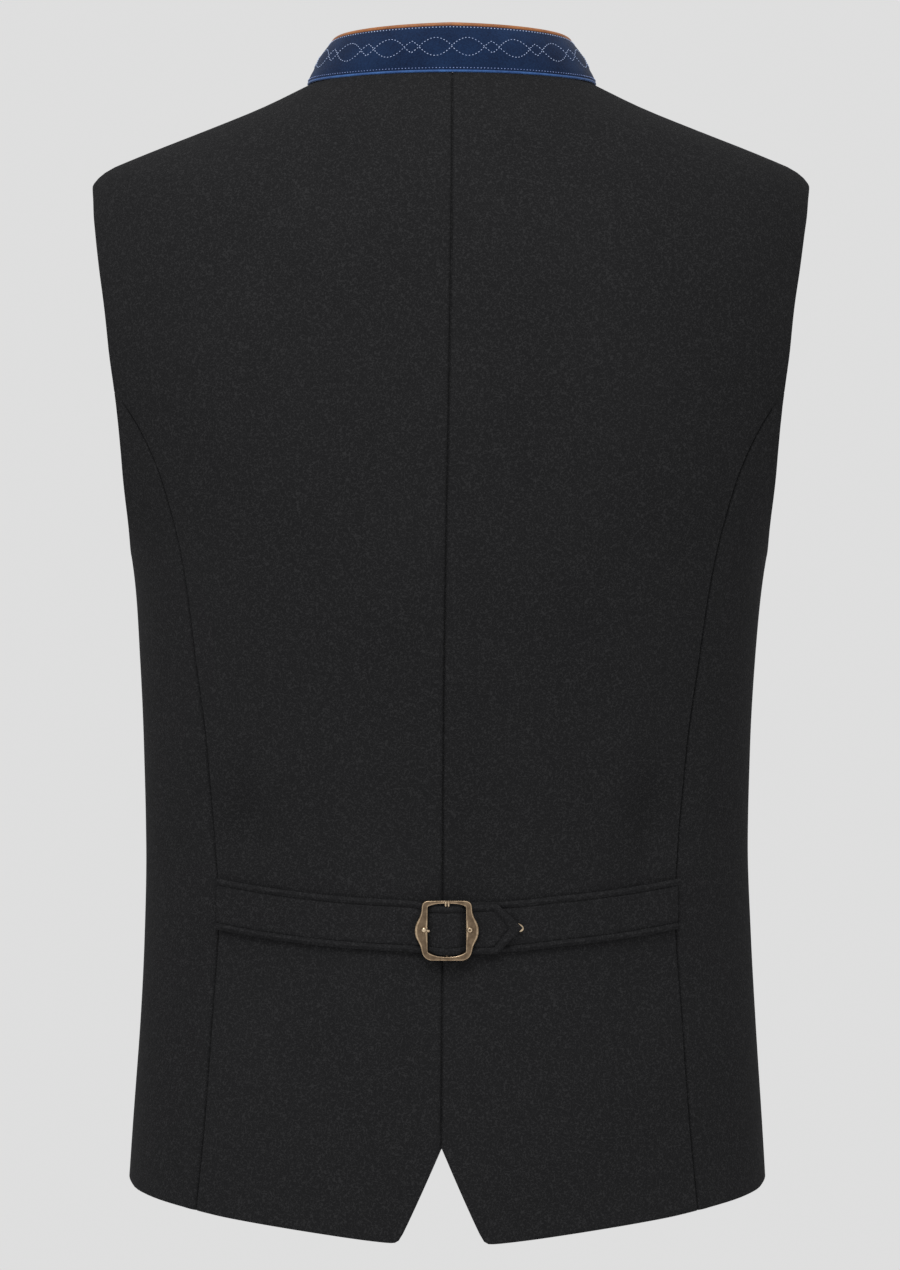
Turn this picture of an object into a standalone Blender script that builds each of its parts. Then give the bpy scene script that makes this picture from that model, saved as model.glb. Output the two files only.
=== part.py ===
# Folk dress waistcoat in the form it has when worn, hollow, with no wearer.
# The front faces -Y, the wearer's left is +X and +Z is up. The origin lies midway between
# the shoulders, at the height where they carry the garment. Tables are in millimetres.

import math

import bmesh
import bpy
import numpy as np
from mathutils import Matrix, Vector

MM = 0.001

# Cloth, trims and the gaps between them
CLOTH = 2.0
COLLAR_WALL = 2.4
STRAP_WALL = 1.4
SEAM_GAP = 0.4
TRIM_GAP = 0.5
NECK_CORD_RADIUS = 0.8
EDGE_PIPING_RADIUS = 1.0
EDGE_COLUMN = 2.5

# Horizontal sections of the body, each half a superellipse for the back and one for the front
SECTIONS = np.array([
    # height, half width, back, front, width power, depth power
    (24.4, 79.4, 62.0, 40.0, 2.00, 1.95),
    (11.0, 107.0, 73.0, 46.0, 2.00, 1.90),
    (-2.4, 139.8, 82.0, 51.0, 2.05, 1.90),
    (-16.0, 174.6, 89.0, 56.0, 2.10, 1.90),
    (-24.5, 193.4, 92.8, 59.5, 2.15, 1.90),
    (-31.0, 199.6, 96.0, 62.0, 2.20, 1.90),
    (-42.0, 203.0, 100.8, 66.0, 2.25, 1.90),
    (-56.0, 206.6, 106.0, 72.0, 2.30, 1.90),
    (-90.0, 209.9, 114.0, 87.0, 2.40, 1.93),
    (-123.0, 209.9, 118.0, 100.0, 2.40, 1.96),
    (-150.0, 206.4, 120.0, 111.0, 2.35, 2.00),
    (-190.0, 196.2, 121.0, 121.0, 2.30, 2.10),
    (-241.0, 177.6, 119.0, 127.0, 2.30, 2.20),
    (-290.0, 172.5, 113.0, 126.0, 2.30, 2.20),
    (-345.0, 169.5, 106.0, 121.0, 2.30, 2.20),
    (-400.0, 168.3, 101.0, 117.0, 2.30, 2.20),
    (-450.0, 170.0, 101.0, 115.0, 2.30, 2.20),
    (-500.0, 172.7, 106.0, 115.0, 2.30, 2.20),
    (-560.0, 176.5, 112.0, 116.0, 2.30, 2.20),
    (-622.0, 180.0, 117.0, 117.0, 2.30, 2.20),
])[::-1]

# Curved seam from the back of the armhole down to the hem
PRINCESS = np.array([
    # height, distance from the middle
    (-150.0, 182.0),
    (-175.0, 167.0),
    (-200.0, 156.5),
    (-248.0, 144.5),
    (-300.0, 137.0),
    (-345.0, 131.0),
    (-400.0, 127.3),
    (-430.0, 125.5),
    (-481.0, 128.0),
    (-545.0, 132.0),
    (-610.0, 138.2),
])[::-1]

HEM = np.array([
    # distance from the middle, height
    (0.0, -607.6),
    (43.0, -606.8),
    (67.0, -603.8),
    (87.0, -601.3),
    (105.0, -599.1),
    (121.0, -597.1),
    (135.0, -595.0),
    (148.0, -593.0),
    (159.0, -591.3),
    (167.0, -589.8),
    (173.0, -588.4),
    (178.0, -585.4),
])

# Soft hollows and swells of the back, in or out along the cloth's normal
FOLDS = np.array([
    # across, height, half width, half height, swell
    (112.0, -390.0, 12.0, 24.0, -4.5),
    (-111.0, -388.0, 12.0, 25.0, -4.5),
    (92.0, -360.0, 11.0, 28.0, 1.6),
    (-90.0, -358.0, 11.0, 28.0, 1.5),
    (22.0, -340.0, 10.0, 70.0, -1.0),
    (-14.0, -372.0, 9.0, 45.0, -1.1),
    (60.0, -500.0, 18.0, 45.0, -1.0),
    (-62.0, -505.0, 18.0, 45.0, -1.0),
    (104.0, -482.0, 12.0, 26.0, -2.0),
    (-104.0, -484.0, 12.0, 26.0, -2.0),
])
CINCH_HEIGHT = -440.0
CINCH_REACH = 45.0
CINCH_DEPTH = 1.5

# Neckline, armholes and the seams beside them
NECK_HEIGHT = 24.4
NECK_HALF_WIDTH = 79.4
NECK_DROP = 74.4
NECK_DROP_POWER = 2.2
SIDE_ANGLE = 94.0
ARMHOLE_MIDDLE = -136.0
ARMHOLE_HALF_HEIGHT = 105.0
ARMHOLE_BACK_REACH = 34.0
ARMHOLE_FRONT_REACH = 40.0
ARMHOLE_TOP_POWER = 0.85
SHOULDER_TIP = ARMHOLE_MIDDLE + ARMHOLE_HALF_HEIGHT
YOKE_BACK = -22.0
YOKE_FRONT = -62.0
YOKE_ROWS = 16
PRINCESS_TOP = -150.0
SIDE_TIP = -152.0

# Lower back
CENTRE_LEAN_TOP = -1.0
CENTRE_LEAN = 1.7
SEAM_DRIFT_TOP = -0.4
SEAM_DRIFT_HEM = 3.5
NOTCH_TOP = -557.8
NOTCH_LEFT = 23.8
NOTCH_RIGHT = -22.7
NOTCH_ROUNDING = 4.0
SKIRT_TOP = -480.0
HEM_MIDDLE = -595.0
SIDE_HALF = 177.0

# Heights and shares at which the panels on both sides of a seam have their rows
SHOULDER_ROWS = np.concatenate([np.linspace(NECK_HEIGHT, -18.0, 5), [-25.0, SHOULDER_TIP]])
ARMHOLE_STEPS = np.linspace(0, 1, 9)[1:] ** 1.4
PRINCESS_ROWS = np.concatenate([[SIDE_TIP, -163.0], np.linspace(-175.0, SKIRT_TOP, 13)])
SIDE_ROWS = np.linspace(ARMHOLE_MIDDLE - ARMHOLE_HALF_HEIGHT, SKIRT_TOP, 10)
SKIRT_ROWS = np.linspace(0, 1, 6)[1:]

# Fronts, buttoned left over right
FRONT_OVERLAP = 18.0
FRONT_HEM = -580.0
OVERLAP_LIFT = 1.4
OVERLAP_START = 44.0
OVERLAP_FULL = 24.0
BUTTON_HEIGHTS = np.linspace(-72.0, -528.0, 7)
BUTTON_RADIUS = 7.5
SHANK_RADIUS = 1.7

# Stand collar by its angle round the neck, 0 at the back and 180 at the front
COLLAR = np.array([
    # angle, slant height with both trims, inward lean
    (0.0, 29.0, 0.33),
    (60.0, 28.0, 0.43),
    (90.0, 26.6, 0.52),
    (135.0, 25.0, 0.35),
    (180.0, 24.0, 0.10),
])
COLLAR_END = 177.4
COLLAR_CORNER = 7.0
COLLAR_CROWN = 0.8

# Belt and buckle
BELT_MIDDLE = -439.6
BELT_RISE = 10.5
BELT_RISE_AT = 125.0
BELT_HALF = 13.5
WINDOW_STRAP_HALF = 11.7
WINDOW_STRAP_DROP = 1.8
BUCKLE_MIDDLE = -441.4
FRAME_LOW = 4.6
FRAME_THICKNESS = 2.2
FRAME_BEVEL = 0.4
BAR_RADIUS = 0.55
STRAP_LIFT = 1.6
CATCH_LIFT = 2.95
BAR_LIFT = 3.15
BRASS_GAP = 0.35
HOOK_AT = 13.75
PEG_RADIUS = 1.3
PEG_ENDS = ((-12.9, 0.9), (-12.4, 0.8), (-9.9, 0.2), (-9.4, 0.1))
RIVET_AT = (12.3, 0.7)
RIVET_PROFILE = ((0.0, 0.0), (1.5, 0.0), (1.8, 0.5), (1.3, 1.2), (0.7, 1.0), (0.0, 0.8))
CATCH_MIDDLE = -38.0
CATCH_THICKNESS = 0.7
CATCH_OUTLINE = (
    (-41.9, 1.9), (-42.3, 0.6), (-42.2, -0.6), (-41.3, -1.8), (-38.5, -3.2),
    (-35.0, -3.4), (-35.0, 4.2), (-38.5, 4.2), (-40.8, 3.1),
)
ANCHOR_RUN = (-125.0, -105.0, -88.0, -71.0, -54.0, -38.0, -24.0, -14.0, -7.0)
ANCHOR_RETURN = -5.0

TONGUE = np.array([
    # across, lift of the strap's middle, half width, drop
    (125.0, 1.60, 13.5, 0.0),
    (110.0, 1.60, 13.5, 0.0),
    (90.0, 1.60, 13.5, 0.0),
    (70.0, 1.60, 13.5, 0.0),
    (50.0, 1.60, 13.5, 0.0),
    (34.0, 1.60, 13.5, 0.0),
    (24.0, 1.75, 13.5, 0.0),
    (17.0, 2.60, 13.4, 0.4),
    (10.9, 3.30, 12.2, 1.4),
    (9.8, 3.60, 11.8, 1.6),
    (6.8, 5.20, 11.7, 1.8),
    (3.5, 6.35, 11.7, 1.8),
    (0.0, 6.50, 11.7, 1.8),
    (-5.4, 6.45, 11.7, 1.8),
    (-7.6, 4.90, 11.7, 1.8),
    (-9.8, 3.60, 11.8, 1.6),
    (-10.9, 3.42, 12.2, 1.4),
    (-17.0, 3.42, 13.5, 1.2),
    (-27.0, 3.95, 13.5, 0.8),
    (-34.0, 4.30, 6.8, 0.8),
    (-40.2, 4.40, 0.7, 0.8),
])


def smooth(table, column, at):
    """Value of a column at each key, on a smooth curve through the rows."""
    keys, values = table[:, 0], table[:, column]
    rise = np.diff(values) / np.diff(keys)
    before, after = rise[:-1], rise[1:]
    turning = before * after <= 0
    even = 2 * before * after / np.where(turning, 1.0, before + after)
    slopes = np.concatenate([rise[:1], np.where(turning, 0.0, even), rise[-1:]])
    row = np.clip(np.searchsorted(keys, at) - 1, 0, len(keys) - 2)
    step = keys[row + 1] - keys[row]
    t = (at - keys[row]) / step
    return ((2 * t**3 - 3 * t**2 + 1) * values[row] + (t**3 - 2 * t**2 + t) * step * slopes[row]
            + (3 * t**2 - 2 * t**3) * values[row + 1] + (t**3 - t**2) * step * slopes[row + 1])


def ramp(value, start, full):
    """0 before start, 1 past full, smooth between them."""
    t = np.clip((value - start) / (full - start), 0, 1)
    return t * t * (3 - 2 * t)


def middle(z):
    """Where the middle of the garment lies across, at a height."""
    return CENTRE_LEAN_TOP + (CENTRE_LEAN - CENTRE_LEAN_TOP) * ramp(z, -30.0, -350.0)


def shape_value(x, y, z):
    """Below 0 inside the body's form and above 0 outside it."""
    depth = np.where(y > 0, smooth(SECTIONS, 2, z), smooth(SECTIONS, 3, z))
    across = np.abs(x - middle(z)) / smooth(SECTIONS, 1, z)
    return across ** smooth(SECTIONS, 4, z) + (np.abs(y) / depth) ** smooth(SECTIONS, 5, z)


def body(angle, z):
    """Points of the body's form at angles in degrees from the centre back, and their normals."""
    turn = np.radians(angle)
    across, back = np.sin(turn), np.cos(turn)
    depth = np.where(back > 0, smooth(SECTIONS, 2, z), smooth(SECTIONS, 3, z))
    x = middle(z) + (smooth(SECTIONS, 1, z) * np.sign(across)
                     * np.abs(across) ** (2 / smooth(SECTIONS, 4, z)))
    y = depth * np.sign(back) * np.abs(back) ** (2 / smooth(SECTIONS, 5, z))
    step = 0.01
    normal = np.stack([
        shape_value(x + step, y, z) - shape_value(x - step, y, z),
        shape_value(x, y + step, z) - shape_value(x, y - step, z),
        shape_value(x, y, z + step) - shape_value(x, y, z - step),
    ], axis=-1)
    normal /= np.linalg.norm(normal, axis=-1, keepdims=True)
    return np.stack([x, y, z + 0 * x], axis=-1), normal


def on_back(angle):
    """1 on the back, fading to 0 at the sides."""
    return ramp(np.cos(np.radians(angle)), 0.0, 0.45)


def cinch(angle, z):
    """How far the belt draws the back in."""
    return -CINCH_DEPTH * on_back(angle) * np.exp(-((z - CINCH_HEIGHT) / CINCH_REACH) ** 2)


def cloth(angle, z, lift=0.0):
    """Points of the cloth's outer face, lifted along the normal."""
    point, normal = body(angle, z)
    swell = cinch(angle, z) + lift
    for across, height, half_width, half_height, depth in FOLDS:
        reach = (((point[..., 0] - across) / half_width) ** 2
                 + ((z - height) / half_height) ** 2)
        swell = swell + on_back(angle) * depth * np.exp(-reach)
    return point + normal * np.asarray(swell)[..., None]


def angle_at(x, z):
    """Angle from the centre back of a place on the back, x millimetres from the middle."""
    share = np.clip(np.abs(x) / smooth(SECTIONS, 1, z), 0, 1)
    return np.degrees(np.arcsin(share ** (smooth(SECTIONS, 4, z) / 2))) * np.sign(x)


def centre_seam(z):
    share = (NECK_HEIGHT - z) / (NECK_HEIGHT - NOTCH_TOP)
    return angle_at(SEAM_DRIFT_TOP + (SEAM_DRIFT_HEM - SEAM_DRIFT_TOP) * share, z)


def princess_seam(z):
    return angle_at(smooth(PRINCESS, 1, z), z)


def side_seam(z):
    return SIDE_ANGLE + 0 * z


def front_edge(z):
    return 180.0 + angle_at(FRONT_OVERLAP, z)


def armhole(turn, reach):
    """Angle and height along the armhole's edge, turn 0 at its top and 180 at its bottom."""
    power = np.where(turn < 90, ARMHOLE_TOP_POWER, 1.0)
    turn = np.radians(turn)
    angle = SIDE_ANGLE + reach * np.maximum(np.sin(turn), 0.0) ** power
    return angle, ARMHOLE_MIDDLE + ARMHOLE_HALF_HEIGHT * np.cos(turn)


def hem(x):
    """Height of the back's hem, with the notch at the bottom of the centre seam."""
    base = smooth(HEM, 1, np.abs(x))
    tip = np.where(x > SEAM_DRIFT_HEM, NOTCH_LEFT, NOTCH_RIGHT)
    notch = NOTCH_TOP + (HEM[0, 1] - NOTCH_TOP) * (x - SEAM_DRIFT_HEM) / (tip - SEAM_DRIFT_HEM)
    return base + ((notch - base) + np.sqrt((notch - base) ** 2 + NOTCH_ROUNDING**2)) / 2


def neck(turn):
    """Angle and height along the neckline, turn 0 at the centre back and 180 at the front."""
    round_neck = np.radians(turn)
    z = NECK_HEIGHT - NECK_DROP * np.maximum(0.0, -np.cos(round_neck)) ** NECK_DROP_POWER
    share = np.clip(NECK_HALF_WIDTH * np.abs(np.sin(round_neck)) / smooth(SECTIONS, 1, z), 0, 1)
    angle = np.degrees(np.arcsin(share ** (smooth(SECTIONS, 4, z) / 2)))
    past = np.abs(turn)
    whole = np.where(past <= 90, angle, np.where(past <= 180, 180 - angle, 180 + angle))
    return whole * np.sign(turn), z


def spread(length, shares):
    """Distances of a row's columns, with one close to each edge for a clean seam."""
    inset = min(EDGE_COLUMN, length * shares[0] / 2)
    inner = inset + (length - 2 * inset) * shares
    return np.concatenate([[0.0, inset], inner, [length - inset, length]])


def place_row(path, shares, lift, side, bent=None):
    """Points of one row: even steps along its path, half a seam gap in from both ends."""
    dense = np.linspace(0, 1, 121)
    points, _ = body(*path(dense))
    run = np.concatenate([[0], np.cumsum(np.linalg.norm(np.diff(points, axis=0), axis=1))])
    stops = SEAM_GAP / 2 + spread(run[-1] - SEAM_GAP, shares)
    angle, z = (bent or path)(np.interp(stops, run, dense))
    return cloth(side * angle, z, lift(angle, z))


def flat(angle, z):
    return 0.0 * angle


def line(start, end):
    """Path between two (angle, height) places."""
    def path(u):
        return start[0] + (end[0] - start[0]) * u, start[1] + (end[1] - start[1]) * u
    return path


def skirt_row(left, right, drop, side, bent):
    """Path of a row below SKIRT_TOP, level or following the hem in the share drop."""
    def path(u):
        level = SKIRT_TOP + drop * (HEM_MIDDLE - SKIRT_TOP) + 0 * u
        if not bent:
            return left(level) + (right(level) - left(level)) * u, level
        guess = left(level) + (right(level) - left(level)) * u
        x = body(guess, level)[0][..., 0] - middle(level)
        z = SKIRT_TOP + drop * (hem(side * x) - SKIRT_TOP)
        return left(z) + (right(z) - left(z)) * u, z
    return path


def grid_object(name, rows, thickness, material, offset=-1.0, even=False):
    """A cloth wall: a grid laid on rows of points, made solid inwards."""
    points = np.array(rows)
    down, across = points.shape[:2]
    mesh = bpy.data.meshes.new(name)
    bm = bmesh.new()
    bmesh.ops.create_grid(bm, x_segments=across - 1, y_segments=down - 1, size=0.5)
    for vert in bm.verts:
        column = round((vert.co.x + 0.5) * (across - 1))
        row = round((0.5 - vert.co.y) * (down - 1))
        vert.co = Vector(points[row, column]) * MM
    first = (points[0, 1] - points[0, 0], points[1, 0] - points[0, 0])
    if np.dot(np.cross(first[0], first[1]), outward_hint(points)) > 0:
        bmesh.ops.reverse_faces(bm, faces=bm.faces)
    bm.normal_update()
    bm.to_mesh(mesh)
    bm.free()
    mesh.shade_smooth()
    obj = add_object(name, mesh, material)
    wall = obj.modifiers.new("wall", "SOLIDIFY")
    wall.thickness = thickness * MM
    wall.offset = offset
    wall.use_even_offset = even
    return obj


def outward_hint(points):
    """Direction away from the garment's middle axis at a grid's first corner."""
    corner = points[0, 0]
    return np.array([corner[0], corner[1], 0.0])


def add_object(name, data, material):
    obj = bpy.data.objects.new(name, data)
    obj.data.materials.append(material)
    waistcoat.objects.link(obj)
    return obj


def make_material(name, colour, roughness, metallic=0.0):
    material = bpy.data.materials.new(name)
    material.use_nodes = True
    shader = material.node_tree.nodes["Principled BSDF"]
    shader.inputs["Base Color"].default_value = (*colour, 1.0)
    shader.inputs["Roughness"].default_value = roughness
    shader.inputs["Metallic"].default_value = metallic
    return material


def tube(name, points, radius, material, resolution=1):
    """A round cord or wire along a path."""
    curve = bpy.data.curves.new(name, "CURVE")
    curve.dimensions = "3D"
    curve.bevel_depth = radius * MM
    curve.bevel_resolution = resolution
    curve.render_resolution_u = 0
    curve.use_fill_caps = True
    spline = curve.splines.new("POLY")
    spline.points.add(len(points) - 1)
    for spot, point in zip(spline.points, points):
        spot.co = (*(Vector(point) * MM), 1.0)
    return add_object(name, curve, material)


def make_back(name, side, material):
    """Half the back: neckline, shoulder seam, armhole, princess seam, hem and centre seam."""
    def left(z):
        return side * centre_seam(z)

    hem_left, hem_right = left(HEM_MIDDLE), princess_seam(HEM_MIDDLE)
    tip = angle_at(NOTCH_LEFT if side > 0 else -NOTCH_RIGHT, HEM_MIDDLE)
    notch_share = (tip - hem_left) / (hem_right - hem_left)
    outer_shares = 1 - (1 - notch_share) * np.linspace(1, 0, 10)[:-1] ** 1.25
    shares = np.concatenate([[0.4 * notch_share], outer_shares])

    junction = math.degrees(math.acos((PRINCESS_TOP - ARMHOLE_MIDDLE) / ARMHOLE_HALF_HEIGHT))
    right = [(SIDE_ANGLE, z) for z in SHOULDER_ROWS]
    right += [armhole(turn, -ARMHOLE_BACK_REACH) for turn in junction * ARMHOLE_STEPS]
    heights = np.concatenate([np.linspace(NECK_HEIGHT, YOKE_BACK, len(SHOULDER_ROWS)),
                              YOKE_BACK + (PRINCESS_TOP - YOKE_BACK) * ARMHOLE_STEPS,
                              PRINCESS_ROWS])
    right += [(princess_seam(z), z) for z in PRINCESS_ROWS]
    rows = [place_row(line((left(z), z), end), shares, flat, side)
            for z, end in zip(heights, right)]
    for drop in SKIRT_ROWS:
        rows.append(place_row(skirt_row(left, princess_seam, drop, side, False), shares, flat, side,
                              skirt_row(left, princess_seam, drop, side, True)))
    return grid_object(name, rows, CLOTH, material)


def make_side(name, side, material):
    """Side back panel, between the princess seam and the side seam under the armhole."""
    shares = np.linspace(0, 1, 5)[1:-1]
    tip_turn = math.degrees(math.acos((SIDE_TIP - ARMHOLE_MIDDLE) / ARMHOLE_HALF_HEIGHT))
    steps = np.linspace(1, 0, len(PRINCESS_ROWS) - len(SIDE_ROWS) + 1) ** 1.3
    turns = 180 - (180 - tip_turn - 0.4) * steps
    right = [armhole(turn, -ARMHOLE_BACK_REACH) for turn in turns]
    right += [(SIDE_ANGLE, z) for z in SIDE_ROWS[1:]]
    rows = [place_row(line((princess_seam(z), z), end), shares, flat, side)
            for z, end in zip(PRINCESS_ROWS, right)]
    for drop in SKIRT_ROWS:
        rows.append(place_row(skirt_row(princess_seam, side_seam, drop, side, False), shares, flat,
                              side, skirt_row(princess_seam, side_seam, drop, side, True)))
    return grid_object(name, rows, CLOTH, material)


def overlap_lift(side):
    """The left front lies over the right one where they are buttoned."""
    def lift(angle, z):
        x = body(angle, z)[0][..., 0] - middle(z)
        return side * OVERLAP_LIFT * ramp(x, OVERLAP_START, OVERLAP_FULL)
    return lift


def make_front(name, side, material):
    """Half the front, from the side seam, armhole and shoulder to past the buttons."""
    turns = np.linspace(90, 95, 51)
    start_turn = np.interp(SIDE_ANGLE, neck(turns)[0], turns)
    end_turn = 180 + math.degrees(math.asin(FRONT_OVERLAP / NECK_HALF_WIDTH))
    neck_start, neck_end = np.transpose(neck(np.array([start_turn, end_turn])))
    neck_line = line(neck_start, neck_end)

    outer = [(SIDE_ANGLE, z) for z in SHOULDER_ROWS]
    down = 90 - 90 * np.cos(np.linspace(0, np.pi, 11)[1:])
    outer += [armhole(turn, ARMHOLE_FRONT_REACH) for turn in down]
    outer += [(SIDE_ANGLE, z) for z in SIDE_ROWS[1:]]
    outer += [(SIDE_ANGLE, SKIRT_TOP + drop * (hem(SIDE_HALF) - SKIRT_TOP)) for drop in SKIRT_ROWS]
    yoke = len(SHOULDER_ROWS)
    inner = np.concatenate([np.linspace(neck_end[1], YOKE_FRONT, yoke),
                            np.linspace(YOKE_FRONT, FRONT_HEM, len(outer) - yoke + 1)[1:]])
    shares = 0.5 - 0.5 * np.cos(np.linspace(0, np.pi, 18)[2:-1])

    def curved(start, end, index):
        straight = line(start, end)
        follow = 1 - ramp(index, 0, YOKE_ROWS)

        def path(u):
            here, level = straight(u), neck_line(u)
            bend = neck(start_turn + (end_turn - start_turn) * u)
            return (here[0] + follow * (bend[0] - level[0]),
                    here[1] + follow * (bend[1] - level[1]))
        return path

    rows = [place_row(curved(start, (front_edge(z), z), index), shares, overlap_lift(side), side)
            for index, (start, z) in enumerate(zip(outer, inner))]
    return grid_object(name, rows, CLOTH, material)


def neck_frames(turns):
    """Rim point, direction on past the rim, stand direction and outward normal round the neck."""
    step = 0.5
    point, normal = body(*neck(turns))
    ahead = body(*neck(turns + step))[0] - body(*neck(turns - step))[0]
    ahead /= np.linalg.norm(ahead, axis=-1, keepdims=True)
    past_rim = np.cross(ahead, normal)
    past_rim *= np.sign(past_rim[:, 2:] + 1e-9)
    inward = np.cross(ahead, [0.0, 0.0, 1.0])
    inward /= np.linalg.norm(inward, axis=-1, keepdims=True)
    inward *= -np.sign(np.sum(inward * point * [1, 1, 0], axis=-1, keepdims=True))
    stand = inward * smooth(COLLAR, 2, np.abs(turns))[:, None] + [0.0, 0.0, 1.0]
    stand -= ahead * np.sum(stand * ahead, axis=-1, keepdims=True)
    stand /= np.linalg.norm(stand, axis=-1, keepdims=True)
    out = np.cross(stand, ahead)
    out *= -np.sign(np.sum(out * inward, axis=-1, keepdims=True))
    return point, past_rim, stand, out


def collar_turns(end, count):
    """Even steps round the neck with closer ones at both ends."""
    close = end - np.array([0.0, 1.2, 3.0, 5.5, 9.0])
    inner = np.linspace(-close[-1], close[-1], count)[1:-1]
    return np.concatenate([-close, inner, close[::-1]])


def collar_top(turns):
    """Slant height of the collar's blue wall, rounded off at the front corners."""
    slant = smooth(COLLAR, 1, np.abs(turns)) - 2 * EDGE_PIPING_RADIUS - TRIM_GAP
    from_end = np.radians(COLLAR_END - np.abs(turns)) * NECK_HALF_WIDTH
    short = np.clip(COLLAR_CORNER - from_end, 0, COLLAR_CORNER)
    return slant - COLLAR_CORNER + np.sqrt(COLLAR_CORNER**2 - short**2)


def make_collar(suede, neck_cord, edge_leather):
    """Stand collar between its two pipings, round the neck from front edge to front edge."""
    turns = collar_turns(COLLAR_END, 35)
    point, past_rim, stand, out = neck_frames(turns)
    cord = point + past_rim * (NECK_CORD_RADIUS + TRIM_GAP)
    tube("collar_seam_piping", cord, NECK_CORD_RADIUS, neck_cord)
    base = NECK_CORD_RADIUS + TRIM_GAP
    top = collar_top(turns)
    rows = []
    for share in (0.0, 0.3, 0.65, 1.0):
        rise = base + (top - base)[:, None] * share
        swell = COLLAR_WALL / 2 + COLLAR_CROWN * math.sin(math.pi * share)
        rows.append(cord + stand * rise + out * swell)
    rows.reverse()
    grid_object("collar", rows, COLLAR_WALL, suede)

    ends = [cord[[end]] + stand[[end]] * (base + (top[end] - base) * np.array([[0.1], [0.55]]))
            for end in (0, -1)]
    edge = np.concatenate([ends[0], cord + stand * top[:, None], ends[1][::-1]])
    face = np.concatenate([out[[0, 0]], out, out[[-1, -1]]])
    ahead = np.gradient(edge, axis=0)
    beyond = np.cross(ahead, face)
    beyond /= np.linalg.norm(beyond, axis=-1, keepdims=True)
    beyond *= np.sign(beyond[len(beyond) // 2, 2])
    tube("collar_edge_piping", edge + beyond * (TRIM_GAP + EDGE_PIPING_RADIUS),
         EDGE_PIPING_RADIUS, edge_leather)


def belt_height(x):
    return BELT_MIDDLE + BELT_RISE * (x / BELT_RISE_AT) ** 2


def belt_point(x, across, lift):
    """A place on the belt, flat across its width: x from the middle, across it and lift."""
    z = belt_height(x)
    angle = angle_at(x, z)
    point, normal = body(angle, z)
    up = np.array([0.0, 0.0, 1.0]) - normal * normal[..., 2:]
    up /= np.linalg.norm(up, axis=-1, keepdims=True)
    across = across + 0 * x
    return point + up * across[..., None] + normal * (lift + cinch(angle, z))[..., None]


def make_strap(name, stations, material):
    """A flat strap through stations of across, lift, half width and drop."""
    x, lift, half, drop = stations.T
    rows = [belt_point(x, share * half - drop, lift) for share in (1.0, 0.5, 0.0, -0.5, -1.0)]
    return grid_object(name, rows, STRAP_WALL, material, offset=0.0, even=True)


def make_anchor(name, material):
    """The strap on the wearer's right, which turns back over the buckle's bar."""
    bend = BAR_RADIUS + BRASS_GAP + STRAP_WALL / 2
    main = [(x, STRAP_LIFT, BELT_HALF, 0.0) for x in ANCHOR_RUN]
    turns = np.radians(np.linspace(-90, 90, 6))
    wrap = [(bend * math.cos(turn), BAR_LIFT + bend * math.sin(turn), WINDOW_STRAP_HALF,
             WINDOW_STRAP_DROP) for turn in turns]
    back = [(ANCHOR_RETURN, BAR_LIFT + bend, WINDOW_STRAP_HALF, WINDOW_STRAP_DROP)]
    return make_strap(name, np.array(main + wrap + back), material)


def buckle_axes():
    """World matrix of the buckle: its own x across, y up and z away from the cloth."""
    x = np.array(0.0)
    point = belt_point(x, BUCKLE_MIDDLE - BELT_MIDDLE, 0.0)
    out = Vector(body(x, belt_height(x))[1])
    across = Vector((0, 0, 1)).cross(out).normalized()
    up = out.cross(across)
    turn = Matrix((across, up, out)).transposed().to_4x4()
    return Matrix.Translation(Vector(point) * MM) @ turn


def frame_outline():
    """Outer edge of the buckle: straight rails, round corners and a swell on each side."""
    half, swell, reach, sharpness = 13.5, 3.7, 7.0, 2.6
    top, bottom, top_corner, bottom_corner = 16.2, -16.1, 3.2, 5.5
    heights = np.linspace(bottom + bottom_corner, top - top_corner, 13)
    right = [(half + swell * math.exp(-abs(v / reach) ** sharpness), v) for v in heights]
    for turn in np.radians((30, 60, 90)):
        right.append((half - top_corner + top_corner * math.cos(turn),
                      top - top_corner + top_corner * math.sin(turn)))
    lower = [(half - bottom_corner + bottom_corner * math.cos(turn),
              bottom + bottom_corner - bottom_corner * math.sin(turn))
             for turn in np.radians((90, 67, 45, 22))]
    right = lower + right
    return right + [(-x, y) for x, y in reversed(right)]


def window_outline():
    """Inner edge of the buckle: an arched top and a bottom that bows down."""
    half = 10.2
    shares = np.linspace(-1, 1, 11)
    top = [(half * s, 14.6 - 1.8 * abs(s) ** 3) for s in shares]
    bottom = [(half * s, -13.9 + 2.6 * abs(s) ** 2.4) for s in shares[::-1]]
    return top + bottom


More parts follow.
